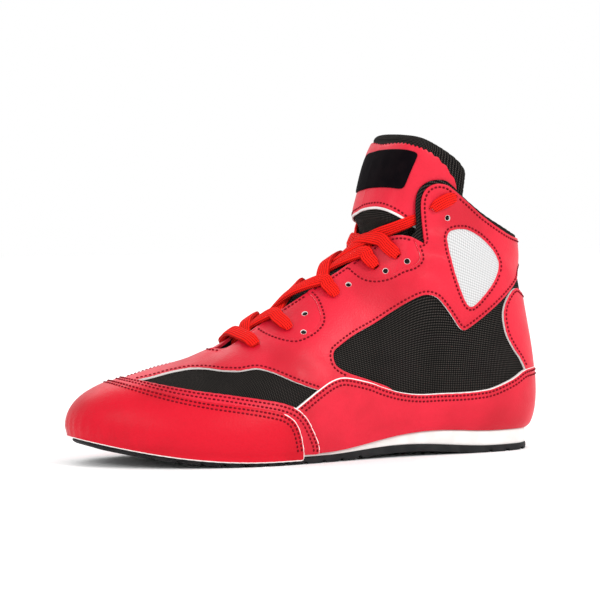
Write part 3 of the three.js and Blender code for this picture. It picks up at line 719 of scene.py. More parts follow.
# Materials
class Paint:
    """A material's nodes, with short calls for the few kinds that are used here."""

    def __init__(self, name):
        self.material = bpy.data.materials.new(name)
        self.material.use_nodes = True
        self.tree = self.material.node_tree
        self.shader = self.tree.nodes["Principled BSDF"]

    def node(self, kind, settings=(), **inputs):
        node = self.tree.nodes.new(kind)
        for key, value in dict(settings).items():
            setattr(node, key, value)
        for key, value in inputs.items():
            self.put(node.inputs[key.replace("_", " ")], value)
        return node

    def put(self, socket, value):
        if isinstance(value, bpy.types.NodeSocket):
            self.tree.links.new(value, socket)
        else:
            socket.default_value = value

    def math(self, operation, a, b=0.0, c=0.0, clamp=False):
        node = self.tree.nodes.new("ShaderNodeMath")
        node.operation = operation
        node.use_clamp = clamp
        for socket, value in zip(node.inputs, (a, b, c)):
            self.put(socket, value)
        return node.outputs[0]

    def mix(self, share, a, b):
        node = self.tree.nodes.new("ShaderNodeMix")
        node.data_type = "RGBA"
        self.put(node.inputs[0], share)
        for socket, value in ((node.inputs[6], a), (node.inputs[7], b)):
            if not isinstance(value, bpy.types.NodeSocket) and len(value) == 3:
                value = (*value, 1)
            self.put(socket, value)
        return node.outputs[2]

    def place(self):
        return self.node("ShaderNodeTexCoord").outputs["Object"]

    def attribute(self, name, vector=False):
        node = self.node("ShaderNodeAttribute", {"attribute_name": name})
        return node.outputs["Vector" if vector else "Fac"]

    def noise(self, scale, detail=2.0, vector=None):
        node = self.node("ShaderNodeTexNoise", {}, Scale=scale, Detail=detail)
        self.put(node.inputs["Vector"], vector or self.place())
        return node.outputs["Fac"]

    def cells(self, scale, vector=None, feature="F1"):
        node = self.node("ShaderNodeTexVoronoi", {"feature": feature}, Scale=scale)
        self.put(node.inputs["Vector"], vector or self.place())
        return node.outputs["Distance"]

    def step(self, value, low, high):
        """0 below low and 1 above high."""
        node = self.node("ShaderNodeMapRange", {"interpolation_type": "SMOOTHSTEP"})
        self.put(node.inputs["Value"], value)
        node.inputs["From Min"].default_value = low
        node.inputs["From Max"].default_value = high
        return node.outputs["Result"]

    def bump(self, height, strength, distance, under=None):
        node = self.node("ShaderNodeBump", {}, Strength=strength, Distance=distance)
        self.put(node.inputs["Height"], height)
        if under is not None:
            self.put(node.inputs["Normal"], under)
        return node.outputs["Normal"]

    def done(self, colour, roughness, normal=None, specular=0.5):
        if not isinstance(colour, bpy.types.NodeSocket):
            colour = (*colour, 1)
        self.put(self.shader.inputs["Base Color"], colour)
        self.put(self.shader.inputs["Roughness"], roughness)
        self.shader.inputs["Specular IOR Level"].default_value = specular
        if normal is not None:
            self.put(self.shader.inputs["Normal"], normal)
        return self.material


RAW_EDGE = (0.83, 0.78, 0.76)


def leather(name, colour, deep, gloss=0.24, rough_least=0.34):
    p = Paint(name)
    wide = p.noise(24, 3)
    tone = p.mix(p.step(wide, 0.35, 0.75), colour, deep)
    fine = p.noise(420, 4)
    tone = p.mix(p.math("MULTIPLY", p.step(fine, 0.45, 0.8), 0.16), tone, deep)
    rim = p.attribute("rim")
    wobble = p.math("MULTIPLY", p.math("SUBTRACT", p.noise(900, 2), 0.5), 0.3)
    raw = p.math("SUBTRACT", 1.0, p.step(p.math("ADD", rim, wobble), -0.12, 0.1))
    tone = p.mix(raw, tone, RAW_EDGE)
    pebble = p.cells(1150)
    creases = p.noise(300, 5)
    height = p.math("ADD", p.math("MULTIPLY", pebble, 0.55), p.math("MULTIPLY", creases, 0.6))
    normal = p.bump(height, 0.34, 0.00035, p.bump(p.noise(46, 3), 0.25, 0.0012))
    rough = p.math("ADD", rough_least, p.math("MULTIPLY", p.noise(130, 3), 0.2))
    return p.done(tone, rough, normal, gloss)


def weave(name, dark, light, pitch, strength=0.8, holes=0.0, rough=0.85):
    p = Paint(name)
    flat = p.attribute("flat", True)
    split = p.node("ShaderNodeSeparateXYZ", {}, Vector=flat)
    x, y = split.outputs["X"], split.outputs["Y"]
    turn = 2 * math.pi / pitch
    a = p.math("SINE", p.math("MULTIPLY", p.math("ADD", x, y), turn * 0.7071))
    b = p.math("SINE", p.math("MULTIPLY", p.math("SUBTRACT", x, y), turn * 0.7071))
    both = p.math("MULTIPLY", a, b)
    height = p.math("ADD", p.math("MULTIPLY", both, 0.5), 0.5)
    # Lighter where the threads stand up and darker in the hollows between them: a painted highlight on the
    # threads and painted shade in the hollows
    tone = p.mix(p.step(height, 0.5, 0.9), dark, light)
    if holes:
        pit = p.math("SUBTRACT", 1.0, p.step(height, 0.02, 0.16))
        tone = p.mix(p.math("MULTIPLY", pit, holes), tone, (0.12, 0.12, 0.13))
    blotch = p.math("MULTIPLY", p.step(p.noise(60, 3), 0.4, 0.8), 0.25)
    tone = p.mix(blotch, tone, dark)
    normal = p.bump(height, strength, 0.0003)
    return p.done(tone, rough, normal, 0.04)


def plain(name, dark, light, scale, rough, strength=0.3, distance=0.0003, specular=0.4):
    p = Paint(name)
    tone = p.mix(p.step(p.noise(scale / 9, 3), 0.35, 0.7), dark, light)
    normal = p.bump(p.noise(scale, 4), strength, distance)
    spread = p.math("ADD", rough - 0.06, p.math("MULTIPLY", p.noise(scale / 5, 2), 0.12))
    return p.done(tone, spread, normal, specular)


RED = (0.64, 0.010, 0.032)
RED_DEEP = (0.47, 0.005, 0.018)
# Darker reds for the toe cap than for the rest of the leather: painted shade, standing in for the shade that
# falls over the cap
TOE_RED_PAINTED_SHADE = (0.57, 0.003, 0.017)
TOE_RED_DEEP_PAINTED_SHADE = (0.42, 0.002, 0.010)
# The laces' deep red is painted shade in the braid's grooves
LACE_RED = (0.86, 0.012, 0.008)
LACE_PAINTED_SHADE = (0.30, 0.003, 0.002)
BLACK = (0.003, 0.003, 0.003)
# The black mesh's grey is a painted highlight on its raised threads
BLACK_PAINTED_HIGHLIGHT = (0.058, 0.050, 0.045)

red_leather = leather("red_leather", RED, RED_DEEP)
# The toe cap's leather, in its darker reds: painted shade over the cap
toe_leather_painted_shade = leather("toe_leather_painted_shade", TOE_RED_PAINTED_SHADE, TOE_RED_DEEP_PAINTED_SHADE, gloss=0.16, rough_least=0.3)
# Each weave's darker tone is painted shade in its hollows, and its lighter tone a painted highlight on its
# threads
black_mesh = weave("black_mesh", BLACK, BLACK_PAINTED_HIGHLIGHT, 1.55, 0.7)
white_mesh = weave("white_mesh", (0.50, 0.50, 0.50), (0.66, 0.66, 0.66), 1.6, 0.6, holes=0.75)
lining = weave("grey_lining", (0.012, 0.012, 0.013), (0.035, 0.035, 0.038), 1.1, 0.5)
foam = plain("white_foam", (0.68, 0.68, 0.66), (0.76, 0.76, 0.74), 900, 0.62, 0.12, 0.0002)
rubber = plain("black_rubber", (0.008, 0.008, 0.009), (0.016, 0.016, 0.017), 1300, 0.7, 0.25, 0.00025, 0.2)
thread = plain("dark_thread", (0.13, 0.002, 0.007), (0.21, 0.004, 0.013), 2600, 0.8, 0.5, 0.0002, 0.1)
label_black = plain("label_black", (0.003, 0.002, 0.003), (0.005, 0.003, 0.004), 1500, 0.7, 0.3, 0.0002, 0.02)
piping_white = plain("piping_white", (0.62, 0.61, 0.60), (0.72, 0.71, 0.70), 1500, 0.7, 0.3, 0.0002)


def flat_of(uv):
    return np.concatenate([uv * SCALE, np.zeros((len(uv), 1))], 1)


PALE_LINE = 0.6
HOLE_PALE = 0.3


def raised(rim, thick, edge=0.7, groove=()):
    """Height of a cut leather edge's face at a distance from the cut, with stitch grooves."""
    share = np.clip(rim / 0.9, 0, 1)
    height = thick * (edge + (1 - edge) * np.sqrt(1 - (1 - share) ** 2))
    for place in groove:
        height = height - 0.22 * np.exp(-(((rim - place) / 0.45) ** 2))
    return height


def panel(name, patch, thick, nodes=(), material=None, groove=(), puff=0.0,
          pale=None, folded=None):
    """A leather panel: its face, and a cut edge down to what it lies on.

    pale says where the raw edge shows from in front as well.
    folded is a field whose zero line has no raw edge.
    """
    u, t = patch.uv.T
    height = GAP + raised(patch.rim, thick, groove=groove) + puff * smooth(patch.rim / 7)
    top = layer(u, t, height)
    edges = patch.border()
    rims = sorted({p for edge in edges for p in edge})
    index = {p: len(top) + k for k, p in enumerate(rims)}
    skirt = layer(u[rims], t[rims], -SKIRT_SINK)
    faces = list(patch.triangles)
    for a, b in edges:
        faces.append((b, a, index[a], index[b]))
    rim = np.concatenate([patch.rim, np.full(len(rims), -1.0)])
    spots = np.concatenate([patch.uv, patch.uv[rims]])
    if pale is not None:
        rim = rim - PALE_LINE * pale(spots[:, 0], spots[:, 1])
    if folded is not None:
        turned_in = (np.abs(folded(spots[:, 0], spots[:, 1])) < 0.9) | (spots[:, 1] > 0.99)
        rim = np.where(turned_in, np.maximum(rim, 0.6), rim)
    flat = flat_of(spots)
    return mesh_piece(name, np.concatenate([top, skirt]), faces, material or red_leather,
                      [("rim", rim), ("flat", flat)], nodes=nodes, merge=0.01)


STITCH_PITCH = 2.4
STITCH_LONG = 1.65
STITCH_WIDE = 1.15
STITCH_DIP = 0.12
stitch_rows = []


def stitch(patch, depth, thick, hidden=(), only=None):
    """Notes a row of stitches at a distance inside a patch's cut edge."""
    for chain in patch.chains:
        fine = evened(chain, 0.8)
        row = shifted(fine, inward(patch.field, fine) * depth)
        row[:, 1] = np.minimum(row[:, 1], 0.999)
        near = distances(patch.tree, face(*row.T))
        good = (near > depth * 0.86) & (row[:, 1] > 0.012)
        good &= patch.field(row[:, 0], row[:, 1]) > 0
        for over in hidden:
            good &= over(row[:, 0], row[:, 1]) < -0.6
        if only is not None:
            good &= only(row[:, 0], row[:, 1])
        edges = np.flatnonzero(np.diff(np.concatenate([[0], good.astype(int), [0]])))
        for first, last in zip(edges[::2], edges[1::2]):
            if last - first > 6:
                stitch_rows.append((row[first:last], GAP + thick - STITCH_SINK))


def tube_faces(rings, sides):
    """Faces of a closed tube whose points are listed ring by ring."""
    faces = []
    for i in range(rings - 1):
        for k in range(sides):
            m = (k + 1) % sides
            faces.append((i * sides + k, i * sides + m, (i + 1) * sides + m, (i + 1) * sides + k))
    faces.append(tuple(range(sides - 1, -1, -1)))
    faces.append(tuple(range((rings - 1) * sides, rings * sides)))
    return faces


def stitch_spots(points, outs, end_gap=0.0):
    """Centres, ways and normals of the stitches along a row of points."""
    run = lengths_along(points)
    places = np.arange(STITCH_PITCH / 2, run[-1] - end_gap, STITCH_PITCH)
    ways = resampled(places + 1, run, points) - resampled(places - 1, run, points)
    return resampled(places, run, points), unit(ways), unit(resampled(places, run, outs))


def make_stitches():
    """All stitches in one piece: short threads that are thin at both ends."""
    spots = []
    for row, height in stitch_rows:
        points = layer(row[:, 0], row[:, 1], height)
        spots.append(stitch_spots(points, normal_at(row[:, 0], row[:, 1]), STITCH_PITCH / 3))
    spots += tongue_rows
    centre, run, out = (np.concatenate(parts) for parts in zip(*spots))
    side = unit(np.cross(out, run))
    stations = [(-1, 0.3), (-0.7, 0.85), (0, 1), (0.7, 0.85), (1, 0.3)]
    ring = 6
    points = []
    for place, size in stations:
        for k in range(ring):
            turn = 2 * math.pi * k / ring
            sideways = math.cos(turn) * size * STITCH_WIDE / 2
            upward = math.sin(turn) * size * STITCH_WIDE / 2 - STITCH_DIP * place**2
            points.append(centre + run * place * STITCH_LONG / 2 + side * sideways + out * upward)
    cloud = np.stack(points, 1)
    faces = tube_faces(len(stations), ring)
    each = len(stations) * ring
    every = [tuple(i + n * each for i in f) for n in range(len(centre)) for f in faces]
    return mesh_piece("stitching", cloud.reshape(-1, 3), every, thread, sharp=60)


def cap_lowest(u):
    rearward = smooth(np.abs(np.asarray(u) - TOE_TURN) / 4.5)
    return -(CAP_LAP_TOE + (CAP_LAP_REAR - CAP_LAP_TOE) * rearward) / HEIGHT


def side_place(side, share_x, share_z):
    """The x and z of a place on either side, given in shares as it lies on the outer side."""
    x = float(along(share_x))
    return x, float(up(share_z)) - (float(inner_fall(x)) if side < 0 else 0)


def eyelet_places(side, places):
    return [locate(*side_place(side, *place), side) for place in places]


holes_on = {side: eyelet_places(side, EYELETS + SPARE_EYELETS) for side in (1, -1)}
all_holes = holes_on[1] + holes_on[-1]

ROUND = (0.0, float(TURNS))
FORE_SPAN = (2.0, 18.0)
PAIR = (1.7, 4.1)
SINGLE = (1.8,)
in_cap = region((TOE_CAP, 1, 0))
in_mudguard = region((MUDGUARD, 1, 0))
in_foxing = region((FOXING, 1, 0))
in_counter = region((HEEL_COUNTER, 1, 0))

cap_patch = Patch(region((TOE_CAP, 1, 0), lowest=cap_lowest), FORE_SPAN, lowest=-0.03)
mud_patch = Patch(region((MUDGUARD, 1, 0), (TOE_CAP, -1, RUN_UNDER)), FORE_SPAN)
fox_patch = Patch(region((FOXING, 1, 0), (MUDGUARD, -1, RUN_UNDER)), (-10.0, 10.0))
counter_patch = Patch(region((HEEL_COUNTER, 1, 0), (FOXING, -1, RUN_UNDER)), (-4.0, 4.0))
CUT_OUTS = [SIDE_PANEL, TOE_MESH, HEEL_WINDOW, FRONT_SCALLOP, REAR_SCALLOP]
quarter_patch = Patch(region((QUARTER_TOP, 1, 0), (MUDGUARD, -1, RUN_UNDER), (FOXING, -1, RUN_UNDER),
                             *((shape, -1, 0) for shape in CUT_OUTS)), ROUND, holes=all_holes)
upper_patch = Patch(region((UPPER_TOP, 1, 0)), ROUND, spacing=3.0)


def share_of(u, t):
    return share_along(face(u, t)[:, 0])


def cap_pale(u, t):
    """The cap's raw edge shows along its rear and along the sole."""
    return (share_of(u, t) < 63.5) | ((t - cap_lowest(u)) * HEIGHT < 0.8)


hole_tree = tree_of(face(*np.array(all_holes).T))


def hole_pale(u, t):
    """A thin raw ring shows round each punched eyelet."""
    return HOLE_PALE * (distances(hole_tree, face(u, t)) < HOLE_RADIUS + 1)


def foxing_pale(u, t):
    """The foxing's raw edge shows most at its front."""
    return 0.55 + 0.45 * smooth((share_of(u, t) - 40) / 6)


def mudguard_pale(u, t):
    """The mudguard's raw edge shows at its rear."""
    return share_of(u, t) < 61


panel("toe_cap_leather", cap_patch, CAP_THICK, ["toe_cap"], toe_leather_painted_shade, groove=PAIR, pale=cap_pale)
panel("mudguard_leather", mud_patch, MUDGUARD_THICK, ["mudguard"], groove=PAIR, pale=mudguard_pale)
panel("foxing_leather", fox_patch, FOXING_THICK, ["foxing"], groove=PAIR, pale=foxing_pale)
panel("counter_leather", counter_patch, COUNTER_THICK, ["heel_counter"], groove=SINGLE)
panel("quarter_leather", quarter_patch, QUARTER_THICK, ["quarter"], groove=SINGLE, pale=hole_pale,
      folded=region((QUARTER_TOP, 1, 0)))
for depth in PAIR:
    stitch(cap_patch, depth, CAP_THICK, only=lambda u, t: t > 0.03)
    stitch(mud_patch, depth, MUDGUARD_THICK, [in_cap])
    stitch(fox_patch, depth, FOXING_THICK, [in_mudguard])
stitch(counter_patch, SINGLE[0], COUNTER_THICK, [in_foxing])
throat_front = evened(np.stack([np.linspace(8.6, 11.4, 60), np.full(60, 0.984)], 1), 0.8)
throat_front = throat_front[quarter_patch.field(*throat_front.T) > 1.8]
stitch_rows.append((throat_front, GAP + QUARTER_THICK - STITCH_SINK))
stitch(quarter_patch, SINGLE[0], QUARTER_THICK, [in_mudguard, in_foxing, in_counter])

for side, key, span in ((1, "outer", (0.0, 10.0)), (-1, "inner", (10.0, 20.0))):
    window = Patch(region((HEEL_WINDOW, 1, INLAY_LAP)), span, spacing=2.0, rings=[0.5, 1.4])
    panel("window_fabric_" + key, window, WINDOW_THICK, ["window_mesh_" + key], white_mesh,
          puff=0.3)
    for part, shape in (("front_eyestay_", FRONT_SCALLOP), ("rear_eyestay_", REAR_SCALLOP)):
        field = region((QUARTER_TOP, 1, 0), (shape, 1, INLAY_LAP))
        inside = [(u, t) for u, t in holes_on[side] if field(np.array([u]), np.array([t]))[0] > 1]
        stay = Patch(field, span, holes=inside, spacing=2.0)
        panel(part + "leather_" + key, stay, EYESTAY_THICK, [part + key], groove=SINGLE, pale=hole_pale)
        edge_only = region((shape, 1, -1.5))
        stitch(stay, SINGLE[0], EYESTAY_THICK, only=lambda u, t, f=edge_only: f(u, t) > 0)


def make_upper():
    """The fabric wall: outer face, rolled rim and lining, one closed skin but for the sole side."""
    patch = upper_patch
    u, t = patch.uv.T
    half = WALL / 2
    swell = half * np.sqrt(1 - (1 - np.clip(patch.rim / half, 0, 1)) ** 2)
    outside = layer(u, t, -half + swell)
    inside = layer(u, t, -half - swell)
    count = len(outside)
    faces = list(patch.triangles) + [(a + count, c + count, b + count) for a, b, c in patch.triangles]
    for a, b in patch.border():
        faces.append((b, a, a + count, b + count))
    rim = np.concatenate([patch.rim, patch.rim])
    flat = flat_of(np.concatenate([patch.uv, patch.uv]))
    points = np.concatenate([outside, inside])
    return mesh_piece("upper_fabric", points, faces, black_mesh, [("rim", rim), ("flat", flat)],
                      nodes=["upper"], merge=0.01)


make_upper()


# Sole
def flare(x):
    share = share_along(x)
    return HEEL_FLARE * smooth((50 - share) / 30) - TOE_TUCK * smooth((share - 50) / 8)


def tread(x):
    """How far the tread's grooves cut into the underside."""
    middle_fore = float(along((FORE_PAD_START + FORE_PAD_END) / 2))
    depth = np.zeros_like(x)
    for middle, first, last in ((0.0, -2, 1), (middle_fore, -4, 6)):
        for i in range(first, last + 1):
            centre = middle + (i + 0.5) * TREAD_PITCH
            depth = np.maximum(depth, 1 - smooth((np.abs(x - centre) - TREAD_WIDTH / 2 + 0.3) / 0.6))
    return depth * TREAD_DEPTH


def sole_slab(name, node, outset, bottom, top, material, bulge=0.25, steps=420, grooved=False, rows=14):
    """A closed layer of the sole, from its underside to its top. outset is how far it stands out."""
    u = np.linspace(0, TOE_TURN, steps + 1)
    u[[0, -1]] = 0.002, TOE_TURN - 0.002

    def edges(extra):
        result = []
        for turn in (u, TURNS - u):
            rim = layer(turn, np.zeros(len(turn)), 0, creased=False)
            result.append(layer(turn, np.zeros(len(turn)), outset(rim[:, 0]) + extra, creased=False))
        return result

    def strip(extra, height_at, share):
        outer, inner = edges(extra)
        points = inner + (outer - inner) * share
        points[:, 2] = height_at(points[:, 0])
        return points

    def side_line(extra, share, edge):
        line = strip(extra, lambda x: bottom(x) + (top(x) - bottom(x)) * share, edge)
        if grooved:
            line[:, 2] += tread(line[:, 0]) * (1 - smooth((share - 0.1) / 0.25))
        return line

    loops = []
    for share in np.linspace(0, 1, rows):
        line = strip(-0.5, bottom, share)
        if grooved:
            line[:, 2] += tread(line[:, 0])
        loops.append(line)
    sections = [(-0.12, 0.06), (0.0, 0.2), (bulge * 0.6, 0.5), (0.0, 0.82), (-0.15, 0.95)]
    loops += [side_line(extra, share, 1) for extra, share in sections]
    loops += [strip(-0.5, top, share) for share in np.linspace(1, 0, 4)]
    loops += [side_line(extra, share, 0) for extra, share in reversed(sections)]
    grid = np.stack(loops)
    around, length = grid.shape[:2]
    faces = []
    for j in range(around):
        k = (j + 1) % around
        for i in range(length - 1):
            faces.append((j * length + i, k * length + i, k * length + i + 1, j * length + i + 1))
    faces.append(tuple(j * length for j in range(around - 1, -1, -1)))
    faces.append(tuple(j * length + length - 1 for j in range(around)))
    points = grid.reshape(-1, 3)
    flat = np.stack([points[:, 0], points[:, 1], np.zeros(len(points))], 1)
    return mesh_piece(name, points, faces, material, [("flat", flat)], nodes=[node])


def curled_bottom(x):
    """The underside, drawn up to the cap at the very tip of the toe."""
    return ground(x) + 0.7 * (outsole_top(x) - ground(x)) * smooth((share_along(x) - 96) / 4)


sole_slab("outsole_rubber", "outsole", flare, curled_bottom, outsole_top, rubber,
          steps=640, grooved=True)
sole_slab("midsole_foam", "midsole", lambda x: flare(x) - 0.2 * HEEL_FLARE, lambda x: outsole_top(x) + 0.05,
          lambda x: wedge_top(x) + 0.1, foam, bulge=0.35, steps=240)
sole_slab("insole_fabric", "insole", lambda x: x * 0 - (WALL + 3 * GAP), lambda x: wedge_top(x) + GAP,
          lambda x: wedge_top(x) + GAP + INSOLE_THICK, lining, steps=160)


# Tongue
TONGUE_ROWS = np.array([
    [77.8, 27.1, 75, 17, 7, 0], [74, 28.9, 73, 18, 9, 0], [71.3, 30.2, 68, 18, 11, 0],
    [69, 31.8, 60, 18, 13, 0], [66.6, 34.7, 55, 18.5, 16, 0], [63.6, 38.1, 55, 18.5, 17, 0],
    [59.4, 42.7, 56, 19, 17, 0], [53.2, 49.7, 56, 19.5, 18, 0], [49.8, 53.6, 56, 20, 19, 0.1],
    [45, 58.2, 54, 19.5, 21, 0.2], [40.9, 62.4, 46, 19.5, 25, 0.3], [38.7, 66.2, 30, 21.5, 29, 0.5],
    [38.2, 70.3, 8, 24, 38, 0.7], [38.8, 74.6, 8, 26.5, 44, 0.9], [37.5, 81.8, 16, 27, 47, 1],
    [35.9, 89.8, 17, 29.5, 44.5, 1], [34.1, 96.3, 17, 30.5, 40, 1], [32.7, 100, 18, 30, 34, 1],
], float)
ROUND_HALF = np.array([[0, 0], [0.38, 0.075], [0.7, 0.29], [0.92, 0.61], [1, 1]])
SQUARE_HALF = np.array([[0, 0], [0.45, 0.03], [0.84, 0.14], [1, 0.42], [0.97, 1]])
TONGUE_THICK = 5.0
CORNER_DROP = 0.08
CORNER_POWER = 6


def tongue_point(s, v):
    at = v * (1 - CORNER_DROP * np.abs(s) ** CORNER_POWER)
    place, rise, tilt, half, depth, square = spline_at(TONGUE_ROWS, at * (len(TONGUE_ROWS) - 1)).T
    run = np.abs(s) * 4
    blend = spline_at(ROUND_HALF, run) * (1 - square[:, None]) + spline_at(SQUARE_HALF, run) * square[:, None]
    turned = np.radians(tilt)
    sink = across(depth) * blend[:, 1]
    return np.stack([along(place) - sink * np.cos(turned), np.sign(s) * across(half) * blend[:, 0],
                     up(rise) - sink * np.sin(turned)], 1)


def tongue_normal(s, v):
    step = 2e-3
    run = tongue_point(s, np.minimum(1, v + step)) - tongue_point(s, np.maximum(0, v - step))
    turned = tongue_point(np.minimum(1, s + step), v) - tongue_point(np.maximum(-1, s - step), v)
    return unit(np.cross(turned, run))


TONGUE_RUN = 195.4
TONGUE_GIRTH = 62.0
BINDING_SEAM = 5.0

# The tongue's zones: s runs across it, v up it
TONGUE_ARC = [[-0.96, 0.7], [-0.75, 0.72], [-0.35, 0.752], [-0.13, 0.765], [0.09, 0.777], [0.28, 0.784],
              [0.42, 0.784], [0.545, 0.779], [0.655, 0.771], [0.72, 0.76], [0.96, 0.71]]
BINDING_EDGE = [[0, 0.94], [0.125, 0.944], [0.355, 0.952], [0.565, 0.953], [0.72, 0.956], [0.8, 0.954],
                [0.86, 0.947], [0.905, 0.938], [0.935, 0.927], [0.95, 0.9]]
LABEL_CORNERS = [[-0.40, 0.818], [0.58, 0.840], [0.62, 0.934], [-0.31, 0.909]]
ZIGZAG_PITCH = 3.4
ZIGZAG_DEEP = 1.3
ARC_STITCHES = 2.6
PANEL_THICK = 0.6
LABEL_THICK = 0.8
PIPING_WIDE = 1.4

rim_s = np.linspace(-1, 1, 400)
rim_v = np.linspace(0, 1, 600)
tongue_rim = tree_of(np.concatenate([
    tongue_point(np.full(600, -1.0), rim_v), tongue_point(np.full(600, 1.0), rim_v),
    tongue_point(rim_s, np.full(400, 1.0))]))


def tongue_swell(edge):
    """How far the padding stands out from the tongue's middle, at a distance from its edge."""
    half = TONGUE_THICK / 2
    return half * np.sqrt(1 - (1 - np.clip(edge / (half * 1.4), 0, 1)) ** 2)


def tongue_skin(s, v, out=0.0):
    """Points of the padded tongue's front, with its soft roll, seam and fullness."""
    s, v = np.broadcast_arrays(np.asarray(s, float), np.asarray(v, float))
    front = tongue_point(s, v)
    edge = distances(tongue_rim, front)
    puff = 0.5 * smooth((edge - BINDING_SEAM) / 8) * smooth((v - 0.72) / 0.05)
    seam = -0.5 * np.exp(-(((edge - BINDING_SEAM) / 0.7) ** 2)) * smooth((v - 0.7) / 0.05)
    height = tongue_swell(edge) - TONGUE_THICK / 2 + puff + seam + out
    return front + tongue_normal(s, v) * height[:, None]


def grid_faces(rows, columns, first=0, turned=False):
    faces = []
    for i in range(rows - 1):
        for j in range(columns - 1):
            a = first + i * columns + j
            quad = (a, a + columns, a + columns + 1, a + 1)
            faces.append(quad[::-1] if turned else quad)
    return faces


def make_tongue():
    rows, columns = 151, 231
    s, v = np.meshgrid(np.linspace(-1, 1, rows), np.linspace(0, 1, columns), indexing="ij")
    s, v = s.ravel(), v.ravel()
    front = tongue_point(s, v)
    depth = TONGUE_THICK / 2 + tongue_swell(distances(tongue_rim, front))
    outside = tongue_skin(s, v)
    inside = front - tongue_normal(s, v) * depth[:, None]
    count = len(front)
    faces = grid_faces(rows, columns) + grid_faces(rows, columns, count, True)
    for i in range(rows - 1):
        a, b = i * columns, (i + 1) * columns
        faces.append((b, a, a + count, b + count))
    points = np.concatenate([outside, inside])
    flat = np.stack([s * TONGUE_GIRTH, v * TONGUE_RUN, s * 0], 1)
    return mesh_piece("tongue_pad", points, faces, black_mesh, [("flat", np.concatenate([flat, flat]))],
                      nodes=["tongue"], merge=0.01)


def overlay(name, s, v, rows, columns, thick, material, under=0.0):
    """A thin sheet that lies on the tongue, given by a grid of (s, v), with a cut edge all round."""
    ring = [(i, 0) for i in range(rows)] + [(rows - 1, j) for j in range(1, columns)]
    ring += [(i, columns - 1) for i in range(rows - 2, -1, -1)] + [(0, j) for j in range(columns - 2, 0, -1)]
    ring = np.array([i * columns + j for i, j in ring])
    flat_points = np.stack([s * TONGUE_GIRTH, v * TONGUE_RUN, s * 0], 1)
    inset = distances(tree_of(flat_points[ring]), flat_points)
    top = tongue_skin(s, v, under + raised(inset, thick))
    skirt = tongue_skin(s[ring], v[ring], under - 0.3)
    faces = grid_faces(rows, columns)
    count = len(top)
    for k in range(len(ring)):
        m = (k + 1) % len(ring)
        faces.append((ring[m], ring[k], count + k, count + m))
    return mesh_piece(name, np.concatenate([top, skirt]), faces, material, [
        ("rim", np.full(count + len(ring), RIM_REACH)),
        ("flat", np.concatenate([flat_points, flat_points[ring]]))])


arc_line = curve(TONGUE_ARC, 12)
binding_line = curve(BINDING_EDGE, 12)


def arc_at(s):
    return np.interp(s, arc_line[:, 0], arc_line[:, 1])


def binding_at(s):
    return np.interp(np.abs(s), binding_line[:, 0], binding_line[:, 1])


def tongue_stitches(s, v, out):
    """A row of stitches along a line on the tongue."""
    return stitch_spots(tongue_skin(s, v, out), tongue_normal(s, v))


def rounded_square(rows, power=12):
    """A grid over a square with rounded corners, both ways from -1 to 1."""
    a, b = np.meshgrid(np.linspace(-1, 1, rows), np.linspace(-1, 1, rows), indexing="ij")
    a, b = a.ravel(), b.ravel()
    reach = np.maximum(np.abs(a), np.abs(b))
    far = np.maximum((np.abs(a) ** power + np.abs(b) ** power) ** (1 / power), 1e-9)
    return a * reach / far, b * reach / far


def on_label(a, b):
    """Where on the tongue a place of the label lies, from -1 to 1 both ways."""
    low_left, low_right, high_right, high_left = np.array(LABEL_CORNERS)
    right, high = ((a + 1) / 2)[:, None], ((b + 1) / 2)[:, None]
    low_side = low_left * (1 - right) + low_right * right
    high_side = high_left * (1 - right) + high_right * right
    spot = low_side * (1 - high) + high_side * high
    return spot[:, 0], spot[:, 1]


def dress_tongue():
    across_rows, up_columns = 361, 44
    s = np.linspace(-0.95, 0.95, across_rows)
    wave = np.abs(np.mod(s * TONGUE_GIRTH / ZIGZAG_PITCH, 1) - 0.5) * 2
    high = binding_at(s) - ZIGZAG_DEEP / TONGUE_RUN * wave
    low = arc_at(s)
    share = np.linspace(0, 1, up_columns)
    v = low[:, None] + (high - low)[:, None] * share
    overlay("tongue_leather", np.repeat(s, up_columns), v.ravel(), across_rows, up_columns, PANEL_THICK,
            red_leather)
    label_s, label_v = on_label(*rounded_square(41))
    overlay("tongue_label", label_s, label_v, 41, 41, LABEL_THICK, label_black,
            under=PANEL_THICK)
    return [tongue_stitches(s, low + ARC_STITCHES / TONGUE_RUN, PANEL_THICK - STITCH_SINK)]


tongue_rows = dress_tongue()
make_tongue()
make_stitches()


# Laces
LACE_WIDE = 7.8
LACE_THICK = 3.2
BRAID_SIDES = 16


def braid(name):
    p = Paint(name)
    flat = p.attribute("flat", True)
    split = p.node("ShaderNodeSeparateXYZ", {}, Vector=flat)
    x, y = split.outputs["X"], split.outputs["Y"]
    rib = p.math("ABSOLUTE", p.math("SINE", p.math("MULTIPLY", y, math.pi / 1.25)))
    chevron = p.math("ADD", x, p.math("MULTIPLY", p.math("ABSOLUTE", y), 0.9))
    strand = p.math("ABSOLUTE", p.math("SINE", p.math("MULTIPLY", chevron, math.pi / 1.1)))
    height = p.math("ADD", p.math("MULTIPLY", rib, 0.8), p.math("MULTIPLY", strand, 0.4))
    # Deep red in the braid's grooves and full red on its ribs: painted shade in the grooves
    tone = p.mix(p.step(height, 0.2, 0.8), LACE_PAINTED_SHADE, LACE_RED)
    return p.done(tone, 0.8, p.bump(height, 1.0, 0.0005), 0.1)


red_lace = braid("red_lace")


def smooth_path(points, count):
    points = np.array(points, float)
    places = np.linspace(0, len(points) - 1, 40 * (len(points) - 1) + 1)
    dense = spline_at(points, places)
    run = lengths_along(dense)
    even = np.linspace(0, run[-1], count)
    return resampled(even, run, dense), even


